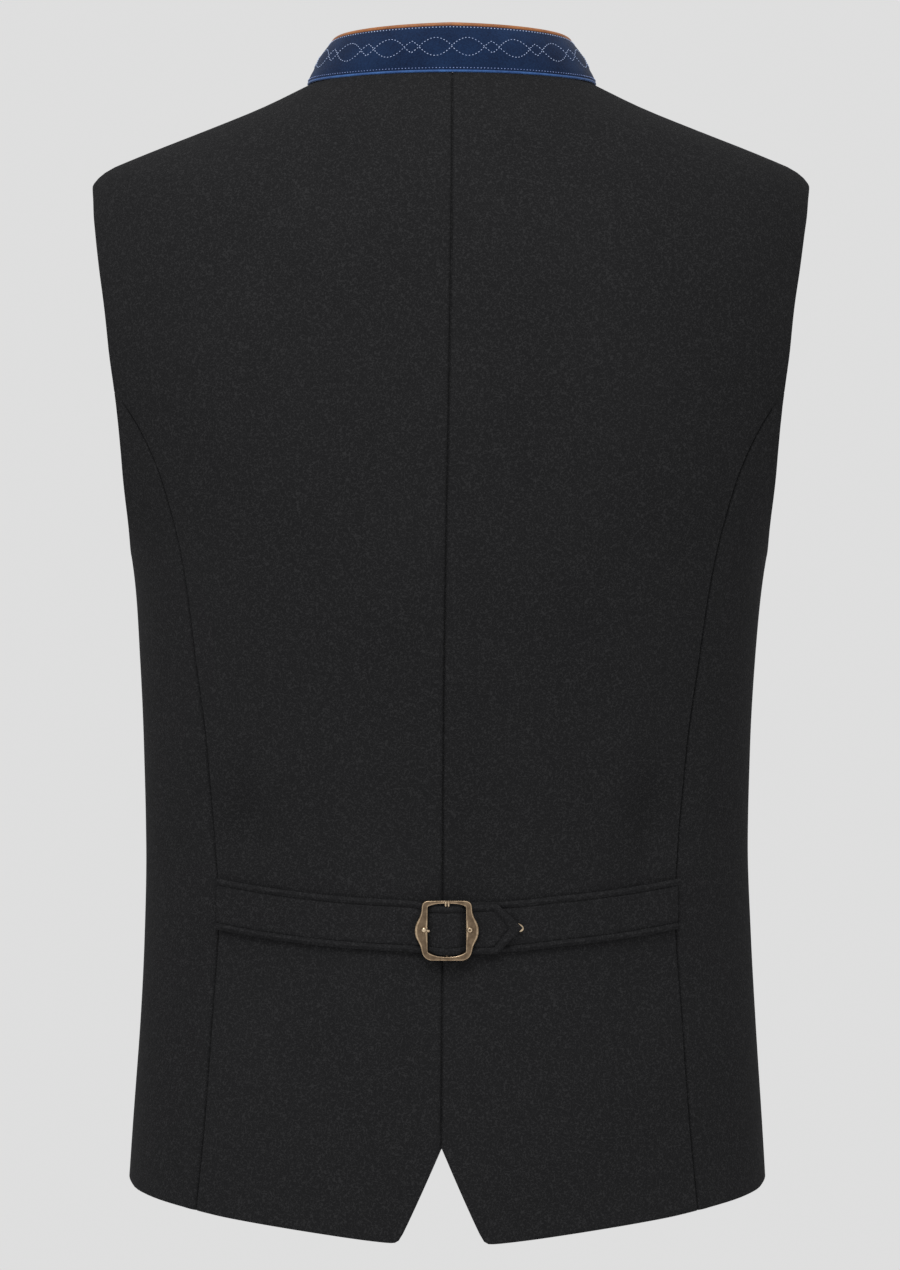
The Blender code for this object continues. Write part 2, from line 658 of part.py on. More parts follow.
def make_buckle(brass):
    """Frame, bar, peg and rivet, placed by the buckle's own axes."""
    axes = buckle_axes()
    curve = bpy.data.curves.new("buckle_frame", "CURVE")
    curve.dimensions = "2D"
    curve.fill_mode = "BOTH"
    curve.extrude = (FRAME_THICKNESS / 2 - FRAME_BEVEL) * MM
    curve.bevel_depth = FRAME_BEVEL * MM
    curve.bevel_resolution = 0
    curve.offset = -FRAME_BEVEL * MM
    curve.render_resolution_u = 0
    for outline in (frame_outline(), window_outline()):
        spline = curve.splines.new("POLY")
        spline.points.add(len(outline) - 1)
        spline.use_cyclic_u = True
        for spot, (x, y) in zip(spline.points, outline):
            spot.co = (x * MM, y * MM, 0.0, 1.0)
    frame = add_object("buckle_frame", curve, brass)
    middle_lift = (FRAME_LOW + FRAME_THICKNESS / 2) * MM
    frame.matrix_world = axes @ Matrix.Translation((0, 0, middle_lift))

    face = FRAME_LOW + FRAME_THICKNESS + BRASS_GAP
    over = face + BAR_RADIUS
    route = [(15.9, over), (HOOK_AT + 0.5, over), (HOOK_AT, over - 0.5), (HOOK_AT, BAR_LIFT + 0.5),
             (HOOK_AT - 0.5, BAR_LIFT), (0.0, BAR_LIFT), (-13.0, BAR_LIFT), (-15.4, BAR_LIFT + 0.6)]
    wire = [axes @ Vector((0.0, up * MM, lift * MM)) / MM for up, lift in route]
    tube("buckle_bar", wire, BAR_RADIUS, brass)

    peg = [axes @ Vector((x * MM, y * MM, (face + PEG_RADIUS) * MM)) / MM for x, y in PEG_ENDS]
    tube("buckle_peg", peg, PEG_RADIUS, brass, resolution=2)
    rivet_place = Matrix.Translation(Vector((*RIVET_AT, face)) * MM)
    turned("buckle_rivet", RIVET_PROFILE, 10, axes @ rivet_place, brass)


def turned(name, profile, steps, matrix, material):
    """A turned piece from a profile of radius and height, on the matrix's z axis."""
    mesh = bpy.data.meshes.new(name)
    bm = bmesh.new()
    spots = [bm.verts.new((radius * MM, 0.0, height * MM)) for radius, height in profile[::-1]]
    for start, end in zip(spots, spots[1:]):
        bm.edges.new((start, end))
    bm.to_mesh(mesh)
    bm.free()
    obj = add_object(name, mesh, material)
    obj.matrix_world = matrix
    screw = obj.modifiers.new("turn", "SCREW")
    screw.steps = screw.render_steps = steps
    screw.use_merge_vertices = True
    screw.merge_threshold = 0.00001
    return obj


def make_catch(name, brass):
    """Small brass plate under the pointed end of the belt, seen just past its tip."""
    plate = bpy.data.curves.new(name, "CURVE")
    plate.dimensions = "2D"
    plate.fill_mode = "BOTH"
    plate.extrude = CATCH_THICKNESS / 2 * MM
    plate.render_resolution_u = 0
    spline = plate.splines.new("POLY")
    spline.points.add(len(CATCH_OUTLINE) - 1)
    spline.use_cyclic_u = True
    for spot, (x, y) in zip(spline.points, CATCH_OUTLINE):
        spot.co = ((CATCH_MIDDLE - x) * MM, y * MM, 0.0, 1.0)
    obj = add_object(name, plate, brass)
    middle_x = np.array(CATCH_MIDDLE)
    height = belt_height(middle_x)
    normal = Vector(body(angle_at(middle_x, height), height)[1])
    across = Vector((0, 0, 1)).cross(normal).normalized()
    turn = Matrix((across, normal.cross(across), normal)).transposed().to_4x4()
    place = belt_point(middle_x, 0.0, CATCH_LIFT)
    obj.matrix_world = Matrix.Translation(Vector(place) * MM) @ turn


def make_buttons(brass):
    """Shank buttons down the middle of the left front."""
    shank, disc = SHANK_RADIUS, BUTTON_RADIUS
    profile = [(0.0, 0.0), (shank, 0.0), (shank, 2.0), (disc - 0.8, 2.4), (disc, 3.3),
               (disc - 1.2, 4.6), (disc - 4.2, 5.6), (0.0, 6.0)]
    for number, height in enumerate(BUTTON_HEIGHTS, start=1):
        z = np.array(height)
        point, normal = body(np.array(180.0), z)
        out = Vector(normal)
        place = Vector(point + normal * (OVERLAP_LIFT + BRASS_GAP)) * MM
        turn = out.to_track_quat("Z", "Y").to_matrix().to_4x4()
        turned(f"button_{number}", profile, 12, Matrix.Translation(place) @ turn, brass)


for old in list(bpy.data.objects):
    bpy.data.objects.remove(old, do_unlink=True)

waistcoat = bpy.data.collections.new("waistcoat")
bpy.context.scene.collection.children.link(waistcoat)

wool = make_material("black_wool", (0.019, 0.019, 0.021), 0.85)
suede = make_material("blue_suede", (0.020, 0.052, 0.160), 0.80)
neck_cord = make_material("light_blue_cord", (0.075, 0.160, 0.400), 0.65)
edge_leather = make_material("tan_leather", (0.400, 0.165, 0.055), 0.50)
brass = make_material("antique_brass", (0.320, 0.220, 0.120), 0.38, 1.0)

make_back("back_left", 1, wool)
make_back("back_right", -1, wool)
make_side("side_left", 1, wool)
make_side("side_right", -1, wool)
make_front("front_left", 1, wool)
make_front("front_right", -1, wool)
make_collar(suede, neck_cord, edge_leather)
make_strap("belt_tongue", TONGUE, wool)
make_anchor("belt_anchor", wool)
make_buckle(brass)
make_catch("tip_catch", brass)
make_buttons(brass)
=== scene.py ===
# Folk dress waistcoat in its worn form, seen from the back.
# Sizes are in millimetres and angles in degrees from the centre back. The front faces -Y,
# the wearer's left is +X and +Z is up.
import math

import bpy
import numpy as np
from mathutils import Matrix, Vector


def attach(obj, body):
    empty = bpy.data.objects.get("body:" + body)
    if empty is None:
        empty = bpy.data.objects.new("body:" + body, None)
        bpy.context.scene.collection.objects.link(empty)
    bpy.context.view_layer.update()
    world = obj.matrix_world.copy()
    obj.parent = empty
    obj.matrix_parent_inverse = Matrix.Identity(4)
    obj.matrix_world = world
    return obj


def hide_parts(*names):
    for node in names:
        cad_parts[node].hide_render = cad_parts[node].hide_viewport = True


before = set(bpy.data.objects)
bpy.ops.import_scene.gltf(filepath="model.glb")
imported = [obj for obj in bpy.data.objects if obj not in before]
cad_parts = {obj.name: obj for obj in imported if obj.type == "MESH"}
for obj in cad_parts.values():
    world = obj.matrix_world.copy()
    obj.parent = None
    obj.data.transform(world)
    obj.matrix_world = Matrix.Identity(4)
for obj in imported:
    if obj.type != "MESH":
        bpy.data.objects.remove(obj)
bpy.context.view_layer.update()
mm = 0.001
bpy.ops.object.select_all(action="DESELECT")
print("frame loaded")


# Materials

def linearColour(hexText):
    values = [int(hexText[i:i + 2], 16) / 255 for i in (1, 3, 5)]
    linear = [v / 12.92 if v <= 0.04045 else ((v + 0.055) / 1.055) ** 2.4 for v in values]
    return (*linear, 1.0)


def addNode(tree, kind, inputs=None, **settings):
    node = tree.nodes.new(kind)
    for key, value in settings.items():
        setattr(node, key, value)
    for socket, value in (inputs or {}).items():
        if isinstance(value, bpy.types.NodeSocket):
            tree.links.new(value, node.inputs[socket])
        else:
            node.inputs[socket].default_value = value
    return node


def startMaterial(name, shaderInputs):
    material = bpy.data.materials.new(name)
    material.use_nodes = True
    tree = material.node_tree
    shader = tree.nodes["Principled BSDF"]
    for socket, value in shaderInputs.items():
        shader.inputs[socket].default_value = value
    place = addNode(tree, "ShaderNodeTexCoord").outputs["Object"]
    return material, tree, shader, place


def perMetre(size):
    return 1000.0 / size


def addNoise(tree, place, size, detail, roughness):
    return addNode(tree, "ShaderNodeTexNoise", {
        "Vector": place, "Scale": perMetre(size), "Detail": detail,
        "Roughness": roughness}).outputs["Fac"]


def addSpread(tree, value, low, high, **ends):
    return addNode(tree, "ShaderNodeMapRange", {
        "Value": value, "From Min": low, "From Max": high, **ends}).outputs["Result"]


def addMix(tree, factor, first, second, kind="FLOAT"):
    return addNode(tree, "ShaderNodeMix", {"Factor": factor, "A": first, "B": second},
                   data_type=kind).outputs["Result"]


def linkColour(tree, shader, share, deep, light):
    colour = addMix(tree, share, linearColour(deep), linearColour(light), "RGBA")
    tree.links.new(colour, shader.inputs["Base Color"])


def linkBump(tree, shader, strength, depth, height):
    bump = addNode(tree, "ShaderNodeBump", {
        "Strength": strength, "Distance": depth * mm, "Height": height})
    tree.links.new(bump.outputs["Normal"], shader.inputs["Normal"])


# Black brushed wool: a dull napped face that drinks light, with a faint bloom where it turns away
woolLook = {
    "deep": "#1e1e1f", "nap": "#2c2c2d", "clump": 1.5, "fibre": 1.5, "mottle": 60.0,
    "roughness": 0.95, "sheen": 0.008, "sheenRoughness": 0.4, "specular": 0.03, "bump": 0.5,
}


def startNapped(name, look, sheenRoughness):
    return startMaterial(name, {
        "Roughness": look["roughness"], "Specular IOR Level": look["specular"],
        "Sheen Weight": look["sheen"], "Sheen Roughness": sheenRoughness})


def makeWool(name, look):
    material, tree, shader, place = startNapped(name, look, look["sheenRoughness"])
    clump = addNoise(tree, place, look["clump"], 3.0, 0.65)
    fibre = addNode(tree, "ShaderNodeTexNoise", {
        "Vector": place, "Scale": perMetre(look["fibre"]), "Detail": 0.0, "Offset": 1.0,
        "Distortion": 0.6}, noise_type="RIDGED_MULTIFRACTAL")
    lint = addSpread(tree, fibre.outputs["Fac"], 0.7, 1.0)
    mottle = addNoise(tree, place, look["mottle"], 2.0, 0.5)
    grain = addSpread(tree, addMix(tree, 0.15, lint, mottle), 0.05, 0.75)
    linkColour(tree, shader, grain, look["deep"], look["nap"])
    linkBump(tree, shader, look["bump"], 0.35, addMix(tree, 0.4, clump, lint))
    return material


# Suede, light cord, leather and threads: dyed fibre with a soft face, told apart by grain size
fibreColumns = ("deep", "nap", "grain", "mottle", "roughness", "sheen", "specular", "bump")
fibreLooks = {
    "blue dyed suede": ("#0b1831", "#172c4c", 1.1, 22.0, 0.9, 0.06, 0.12, 0.6),
    "light blue cotton cord": ("#1e3e72", "#38629c", 0.9, 6.0, 0.7, 0.15, 0.25, 0.5),
    "tan vegetable leather": ("#7a4623", "#a86c3d", 0.8, 9.0, 0.5, 0.0, 0.4, 0.3),
    "lilac embroidery cotton": ("#8094bd", "#b9c8e6", 0.7, 5.0, 0.6, 0.2, 0.3, 0.3),
    "slate blue sewing cotton": ("#53689c", "#93a5d4", 0.7, 5.0, 0.6, 0.15, 0.3, 0.3),
    "charcoal tacking thread": ("#29292b", "#4a4a4d", 0.7, 5.0, 0.6, 0.0, 0.2, 0.2),
    "black sewing thread": ("#08080a", "#17171a", 0.7, 5.0, 0.6, 0.0, 0.2, 0.2),
}


def makeFibre(name):
    look = dict(zip(fibreColumns, fibreLooks[name]))
    material, tree, shader, place = startNapped(name, look, 0.5)
    grain = addNoise(tree, place, look["grain"], 3.0, 0.6)
    mottle = addNoise(tree, place, look["mottle"], 2.0, 0.5)
    both = addSpread(tree, addMix(tree, 0.5, grain, mottle), 0.34, 0.66)
    linkColour(tree, shader, both, look["deep"], look["nap"])
    linkBump(tree, shader, look["bump"], 0.3, grain)
    return material


# Cast brass: brown patina on the flats, rubbed bright where hands and cloth touch it. The rubbed
# and bright looks are lighter also as a painted highlight, on the frame's rims, the bar and the
# small parts
brassLooks = {
    "antique cast brass": {"patina": "#695948", "rubbed": "#85725d", "roughness": 0.42},
    "rubbed cast brass with painted highlight": {"patina": "#9f8970", "rubbed": "#ccb495", "roughness": 0.32},
    # the bright look is the small parts' worn metal and also a painted highlight
    "bright worn brass with painted highlight": {"patina": "#b09a80", "rubbed": "#e0cbad", "roughness": 0.3},
}


def makeBrass(name):
    look = brassLooks[name]
    material, tree, shader, place = startMaterial(name, {"Metallic": 1.0})
    spots = addNoise(tree, place, 3.0, 3.0, 0.6)
    linkColour(tree, shader, addSpread(tree, spots, 0.35, 0.65), look["patina"], look["rubbed"])
    dull = addSpread(tree, spots, 0.3, 0.7, **{
        "To Min": look["roughness"] + 0.1, "To Max": look["roughness"] - 0.06})
    tree.links.new(dull, shader.inputs["Roughness"])
    linkBump(tree, shader, 0.08, 0.15, addNoise(tree, place, 0.7, 2.0, 0.5))
    return material


wool = makeWool("black brushed wool", woolLook)
suede = makeFibre("blue dyed suede")
blueCord = makeFibre("light blue cotton cord")
tanLeather = makeFibre("tan vegetable leather")
lilacThread = makeFibre("lilac embroidery cotton")
slateThread = makeFibre("slate blue sewing cotton")
blackThread = makeFibre("black sewing thread")
charcoalThread = makeFibre("charcoal tacking thread")
antiqueBrass = makeBrass("antique cast brass")
rubbedHighlightBrass = makeBrass("rubbed cast brass with painted highlight")
brightHighlightBrass = makeBrass("bright worn brass with painted highlight")
print("materials ready")


# The body's form: the CAD source's sections, with a softer shoulder and a fuller left side

body = {
    "sections": np.array([
        # height, half width, back, front, width power, depth power
        (24.4, 79.4, 62.0, 40.0, 2.00, 1.95), (11.0, 107.0, 73.0, 46.0, 2.00, 1.90),
        (-2.4, 139.8, 82.0, 51.0, 2.05, 1.90), (-16.0, 174.6, 89.0, 56.0, 2.10, 1.90),
        (-24.5, 193.4, 92.8, 59.5, 2.15, 1.90), (-31.0, 199.6, 96.0, 62.0, 2.20, 1.90),
        (-42.0, 203.0, 100.8, 66.0, 2.25, 1.90), (-56.0, 206.6, 106.0, 72.0, 2.30, 1.90),
        (-90.0, 209.9, 114.0, 87.0, 2.40, 1.93), (-123.0, 209.9, 118.0, 100.0, 2.40, 1.96),
        (-150.0, 206.4, 120.0, 111.0, 2.35, 2.00), (-190.0, 196.2, 121.0, 121.0, 2.30, 2.10),
        (-241.0, 177.6, 119.0, 127.0, 2.30, 2.20), (-290.0, 172.5, 113.0, 126.0, 2.30, 2.20),
        (-345.0, 169.5, 106.0, 121.0, 2.30, 2.20), (-400.0, 168.3, 101.0, 117.0, 2.30, 2.20),
        (-450.0, 170.0, 101.0, 115.0, 2.30, 2.20), (-500.0, 172.7, 106.0, 115.0, 2.30, 2.20),
        (-560.0, 176.5, 112.0, 116.0, 2.30, 2.20), (-622.0, 180.0, 117.0, 117.0, 2.30, 2.20),
    ])[::-1],
    "princess": np.array([
        # height, distance from the middle
        (-150.0, 182.0), (-175.0, 167.0), (-200.0, 156.5), (-248.0, 144.5), (-300.0, 137.0),
        (-345.0, 131.0), (-400.0, 127.3), (-430.0, 125.5), (-481.0, 128.0), (-545.0, 132.0),
        (-610.0, 138.2),
    ])[::-1],
    "hem": np.array([
        # distance from the middle, height
        (0.0, -611.5), (43.0, -606.8), (67.0, -603.8), (87.0, -601.3), (105.0, -599.1),
        (121.0, -597.1), (135.0, -595.0), (148.0, -593.0), (159.0, -591.3), (167.0, -589.8),
        (173.0, -588.4), (178.0, -585.4),
    ]),
    "leftSwell": np.array([
        # height, how much fuller the wearer's left side is than the right
        (-622.0, 0.0), (-540.0, -0.8), (-490.0, -1.2), (-450.0, -0.9), (-390.0, 0.0),
        (-300.0, -0.3), (-245.0, -0.9), (-200.0, -0.3), (-165.0, 0.9), (-130.0, 2.3),
        (-100.0, 3.1), (-70.0, 2.7), (-45.0, 1.5), (-25.0, 0.6), (-10.0, 0.0), (24.4, 0.0),
    ]),
    # front or back, across, height, half width, half height, lean, swell
    "folds": np.array([
        (1, 112.0, -388.0, 12.0, 26.0, 0.0, -6.5), (1, -111.0, -386.0, 12.0, 27.0, 0.0, -6.5),
        (1, 92.0, -360.0, 11.0, 28.0, 0.0, 1.6), (1, -90.0, -358.0, 11.0, 28.0, 0.0, 1.5),
        (1, 22.0, -340.0, 10.0, 70.0, 0.0, -1.0), (1, -14.0, -372.0, 9.0, 45.0, 0.0, -1.1),
        (1, 60.0, -500.0, 18.0, 45.0, 0.0, -1.0), (1, -62.0, -505.0, 18.0, 45.0, 0.0, -1.0),
        (1, 104.0, -482.0, 12.0, 26.0, 0.0, -2.0), (1, -104.0, -484.0, 12.0, 26.0, 0.0, -2.0),
        (-1, 96.0, -300.0, 14.0, 60.0, 0.25, 1.5), (-1, -98.0, -310.0, 14.0, 60.0, -0.25, 1.5),
        (-1, 70.0, -420.0, 16.0, 55.0, 0.1, -1.4), (-1, -72.0, -415.0, 16.0, 55.0, -0.1, -1.4),
        (-1, 110.0, -500.0, 18.0, 60.0, 0.0, 1.2), (-1, -112.0, -495.0, 18.0, 60.0, 0.0, 1.2),
    ]),
    "cinchHeight": -440.0, "cinchReach": 45.0, "cinchDepth": 1.5,
    "neckHeight": 24.4, "neckHalfWidth": 79.4, "neckDrop": 74.4, "neckPower": 2.2,
    "sideAngle": 94.0, "armholeMiddle": -136.0, "armholeHalf": 105.0,
    "backReach": 34.0, "frontReach": 40.0, "armholeTopPower": 0.85,
    "armholeFoot": -241.0, "seamDriftTop": -0.4, "seamDriftHem": 3.0,
    "notchTop": -557.8, "notchLeft": 26.8, "notchRight": -20.9, "notchRounding": 4.0,
}


def smoothAt(table, column, at):
    keys, values = table[:, 0], table[:, column]
    rise = np.diff(values) / np.diff(keys)
    before, after = rise[:-1], rise[1:]
    turning = before * after <= 0
    even = 2 * before * after / np.where(turning, 1.0, before + after)
    slopes = np.concatenate([rise[:1], np.where(turning, 0.0, even), rise[-1:]])
    row = np.clip(np.searchsorted(keys, at) - 1, 0, len(keys) - 2)
    step = keys[row + 1] - keys[row]
    t = (at - keys[row]) / step
    return ((2 * t**3 - 3 * t**2 + 1) * values[row] + (t**3 - 2 * t**2 + t) * step * slopes[row]
            + (3 * t**2 - 2 * t**3) * values[row + 1] + (t**3 - t**2) * step * slopes[row + 1])


def ramp(value, start, full):
    t = np.clip((value - start) / (full - start), 0, 1)
    return t * t * (3 - 2 * t)


def hump(distance, reach):
    return np.exp(-(distance / reach) ** 2)


def middleAt(z):
    return -1.0 + 2.7 * ramp(z, -30.0, -350.0)


def section(column, z):
    return smoothAt(body["sections"], column, z)


def widthsAt(z):
    # The silhouette keeps its crisp shoulder, and the cloth inside it turns more softly
    sharp = section(1, z)
    near = [section(1, np.clip(z + step, -620.0, 24.4)) for step in (-14.0, -7.0, 0.0, 7.0, 14.0)]
    return sharp, sharp + ramp(z, 8.0, -12.0) * (np.mean(near, axis=0) - sharp)


def bodyPoint(angle, z):
    angle, z = np.broadcast_arrays(np.asarray(angle, float), np.asarray(z, float))
    turn = np.radians(angle)
    across, back = np.sin(turn), np.cos(turn)
    share = np.abs(across)
    depth = np.where(back > 0, section(2, z), section(3, z))
    sharp, soft = widthsAt(z)
    half = soft * share ** (2 / section(4, z)) + (sharp - soft) * share ** 12
    y = depth * np.sign(back) * np.abs(back) ** (2 / section(5, z))
    left = np.where(across > 0, smoothAt(body["leftSwell"], 1, z) * share ** 3, 0.0)
    return np.stack([middleAt(z) + np.sign(across) * half + left, y, z], axis=-1)


def unit(vectors):
    return vectors / np.linalg.norm(vectors, axis=-1, keepdims=True)


def bodyFrame(angle, z):
    angle, z = np.broadcast_arrays(np.asarray(angle, float), np.asarray(z, float))
    along = bodyPoint(angle + 0.02, z) - bodyPoint(angle - 0.02, z)
    down = bodyPoint(angle, z - 0.05) - bodyPoint(angle, z + 0.05)
    return bodyPoint(angle, z), unit(np.cross(along, down))


def cinchAt(angle, z):
    onBack = ramp(np.cos(np.radians(angle)), 0.0, 0.45)
    return -body["cinchDepth"] * onBack * hump(z - body["cinchHeight"], body["cinchReach"])


def cloth(angle, z, lift=0.0):
    point, normal = bodyFrame(angle, z)
    swell = cinchAt(angle, z) + lift
    for facing, across, height, halfWidth, halfHeight, lean, depth in body["folds"]:
        onSide = ramp(facing * np.cos(np.radians(angle)), 0.0, 0.45)
        beside = (point[..., 0] - across - lean * (z - height)) / halfWidth
        swell = swell + onSide * depth * np.exp(-beside**2 - ((z - height) / halfHeight) ** 2)
    return point + normal * np.asarray(swell)[..., None]


def angleAt(x, z):
    share = np.clip(np.abs(x) / widthsAt(z)[1], 0, 1)
    return np.degrees(np.arcsin(share ** (section(4, z) / 2))) * np.sign(x)


def centreSeam(z):
    share = (body["neckHeight"] - z) / (body["neckHeight"] - body["notchTop"])
    drift = body["seamDriftHem"] - body["seamDriftTop"]
    return angleAt(body["seamDriftTop"] + drift * share, z)


def princessSeam(z):
    return angleAt(smoothAt(body["princess"], 1, z), z)


def armhole(turn, reach):
    power = np.where(turn < 90, body["armholeTopPower"], 1.0)
    turn = np.radians(turn)
    angle = body["sideAngle"] + reach * np.maximum(np.sin(turn), 0.0) ** power
    return angle, body["armholeMiddle"] + body["armholeHalf"] * np.cos(turn)


def armholeTurn(z):
    return math.degrees(math.acos((z - body["armholeMiddle"]) / body["armholeHalf"]))


def hemAt(x):
    base = smoothAt(body["hem"], 1, np.abs(x))
    drift = body["seamDriftHem"]
    tip = np.where(x > drift, body["notchLeft"], body["notchRight"])
    notch = body["notchTop"] + (body["hem"][0, 1] - body["notchTop"]) * (x - drift) / (tip - drift)
    return base + ((notch - base) + np.sqrt((notch - base) ** 2 + body["notchRounding"] ** 2)) / 2


def neckLine(turn):
    roundNeck = np.radians(turn)
    drop = np.maximum(0.0, -np.cos(roundNeck)) ** body["neckPower"]
    z = body["neckHeight"] - body["neckDrop"] * drop
    across = body["neckHalfWidth"] * np.abs(np.sin(roundNeck))
    angle = np.abs(angleAt(across, z))
    past = np.abs(turn)
    whole = np.where(past <= 90, angle, np.where(past <= 180, 180 - angle, 180 + angle))
    return whole * np.sign(turn), z


# Making pieces

def activeAs(name):
    piece = bpy.context.object
    piece.name = name
    piece.data.name = name
    return piece


def selectOnly(piece):
    bpy.ops.object.select_all(action="DESELECT")
    piece.select_set(True)
    bpy.context.view_layer.objects.active = piece


def smoothShade(piece, angle=40.0):
    selectOnly(piece)
    bpy.ops.object.shade_smooth_by_angle(angle=math.radians(angle))
    piece.select_set(False)


def addModifier(piece, kind, **settings):
    # The modifier is applied at once, so the piece keeps a plain mesh
    selectOnly(piece)
    modifier = piece.modifiers.new(kind.lower(), kind)
    for key, value in settings.items():
        setattr(modifier, key, value)
    bpy.ops.object.modifier_apply(modifier=modifier.name)


def facesOutward(piece):
    selectOnly(piece)
    bpy.ops.object.mode_set(mode="EDIT")
    bpy.ops.mesh.select_all(action="SELECT")
    bpy.ops.mesh.normals_make_consistent(inside=False)
    bpy.ops.object.mode_set(mode="OBJECT")


def setPoints(piece, points):
    piece.data.vertices.foreach_set("co", (np.asarray(points, float) * mm).ravel())
    piece.data.update()


def clothPiece(name, points, thickness, material, offset=-1.0, even=False):
    # A grid laid on rows of points and given its thickness
    points = np.asarray(points)
    rows, columns = points.shape[:2]
    outward = points[0, 0] * (1, 1, 0)
    if np.dot(np.cross(points[0, 1] - points[0, 0], points[0, 0] - points[1, 0]), outward) < 0:
        points = points[:, ::-1]
    bpy.ops.mesh.primitive_grid_add(x_subdivisions=columns - 1, y_subdivisions=rows - 1, size=2)
    piece = activeAs(name)
    spots = np.empty(len(piece.data.vertices) * 3)
    piece.data.vertices.foreach_get("co", spots)
    spots = spots.reshape(-1, 3)
    column = np.rint((spots[:, 0] + 1) / 2 * (columns - 1)).astype(int)
    row = np.rint((1 - spots[:, 1]) / 2 * (rows - 1)).astype(int)
    setPoints(piece, points[row, column])
    piece.data.materials.append(material)
    addModifier(piece, "SOLIDIFY", thickness=thickness * mm, offset=offset,
                use_even_offset=even, use_rim=True)
    smoothShade(piece)
    return piece


def tubePiece(name, points, radius, material, sides=3):
    # A round cord or wire along a path
    bpy.ops.curve.primitive_nurbs_path_add()
    piece = activeAs(name)
    curve = piece.data
    curve.splines.clear()
    spline = curve.splines.new("POLY")
    spline.points.add(len(points) - 1)
    flat = np.column_stack([np.asarray(points) * mm, np.ones(len(points))])
    spline.points.foreach_set("co", flat.ravel())
    curve.bevel_depth = radius * mm
    curve.bevel_resolution = sides
    curve.use_fill_caps = True
    selectOnly(piece)
    bpy.ops.object.convert(target="MESH")
    piece = activeAs(name)
    piece.data.materials.clear()
    piece.data.materials.append(material)
    smoothShade(piece)
    return piece


def joinPieces(pieces, name):
    bpy.ops.object.select_all(action="DESELECT")
    for piece in pieces:
        piece.select_set(True)
    bpy.context.view_layer.objects.active = pieces[0]
    bpy.ops.object.join()
    piece = activeAs(name)
    piece.select_set(False)
    return piece


def settle(piece, slot, *nodes):
    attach(piece, "root")
    if nodes:
        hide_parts(*nodes)


def runAlong(points):
    steps = np.linalg.norm(np.diff(points, axis=0), axis=-1)
    return np.concatenate([[0.0], np.cumsum(steps)])


def resample(points, stops):
    run = runAlong(points)
    return np.stack([np.interp(stops, run, points[:, axis]) for axis in range(3)], axis=-1)


# One stitch is modelled once: a short rounded bead of thread along X, with its outside up Z
bpy.ops.mesh.primitive_uv_sphere_add(segments=6, ring_count=5, radius=0.5,
                                     rotation=(0, math.pi / 2, 0))
bpy.ops.object.transform_apply(location=True, rotation=True, scale=True)
oneStitch = activeAs("one_stitch")
stitchVerts = np.array([vert.co[:] for vert in oneStitch.data.vertices])
stitchFaces = [list(face.vertices) for face in oneStitch.data.polygons]
bpy.data.objects.remove(oneStitch, do_unlink=True)


def sewPiece(name, seams, size, material, slot):
    # Copies of the stitch along each path of points and outward normals, all in one mesh
    length, width, pitch = size
    spots, faces = [], []
    for points, normals in seams:
        run = runAlong(points)
        count = max(1, int(run[-1] // pitch))
        stops = (np.arange(count) + 0.5) * run[-1] / count
        start = resample(points, stops - length / 2)
        end = resample(points, stops + length / 2)
        ahead = unit(end - start)
        up = np.stack([np.interp(stops, run, normals[:, axis]) for axis in range(3)], axis=-1)
        beside = unit(np.cross(up, ahead))
        up = np.cross(ahead, beside)
        for centre, a, b, c in zip((start + end) / 2, ahead, beside, up):
            base = len(spots) * len(stitchVerts)
            spots.append(centre + stitchVerts @ np.array([a * length, b * width, c * width]))
            faces += [[base + corner for corner in face] for face in stitchFaces]
    mesh = bpy.data.meshes.new(name)
    mesh.from_pydata((np.concatenate(spots) * mm).tolist(), [], faces)
    piece = bpy.data.objects.new(name, mesh)
    bpy.context.scene.collection.objects.link(piece)
    mesh.materials.append(material)
    smoothShade(piece, 60.0)
    settle(piece, slot)
    return piece


# Panels of the body

panel = {
    "cloth": 2.0, "seamLap": 0.15, "seamDip": 1.4, "dipReach": 0.5, "softDip": 0.25,
    "softReach": 2.2, "edgeDip": 0.5, "edgeReach": 0.5,
    "backColumns": 58, "sideColumns": 12, "frontColumns": 52,
    "stops": np.array([0.0, 0.25, 0.6, 1.2, 2.2, 3.6, 5.4, 7.5]),
    "skirtTop": -480.0, "hemMiddle": -595.0, "sideHalf": 177.0,
    "yokeBack": -22.0, "yokeFront": -62.0, "princessTop": -150.0, "sideTip": -150.4,
    "overlap": 18.0, "frontHem": -580.0, "tuck": 0.5, "overlapLift": 1.4, "allowance": 10.0,
}
shoulderRows = np.concatenate([np.linspace(24.4, -18.0, 5), [-25.0, -31.0]])
sideTipRows = np.array([-150.4, -163.0, -175.0, -200.417, -225.833, -251.25])


def shoulderEnd(t):
    return body["sideAngle"], float(np.interp(6 * t, np.arange(7), shoulderRows))


def rowStops(length, inner):
    edge = panel["stops"] * min(1.0, length / 26.0)
    between = np.linspace(edge[-1], length - edge[-1], inner + 2)[1:-1]
    return np.concatenate([edge, between, length - edge[::-1]])


def placeRow(path, inner, side, lift, bent=None):
    ends = bodyPoint(*path(np.array([0.0, 1.0])))
    spare = max(0.02, 0.4 / np.linalg.norm(ends[1] - ends[0]))  # room for the lap past both ends
    dense = np.linspace(-spare, 1 + spare, 165)
    run = runAlong(bodyPoint(*path(dense)))
    start, end = np.interp((0.0, 1.0), dense, run)
    lap = panel["seamLap"]
    stops = start - lap + rowStops(end - start + 2 * lap, inner)
    angle, z = (bent or path)(np.interp(stops, run, dense))
    return cloth(side * angle, z, lift(angle, z, stops - start, end - stops))


def line(start, end):
    def path(u):
        return start[0] + (end[0] - start[0]) * u, start[1] + (end[1] - start[1]) * u
    return path


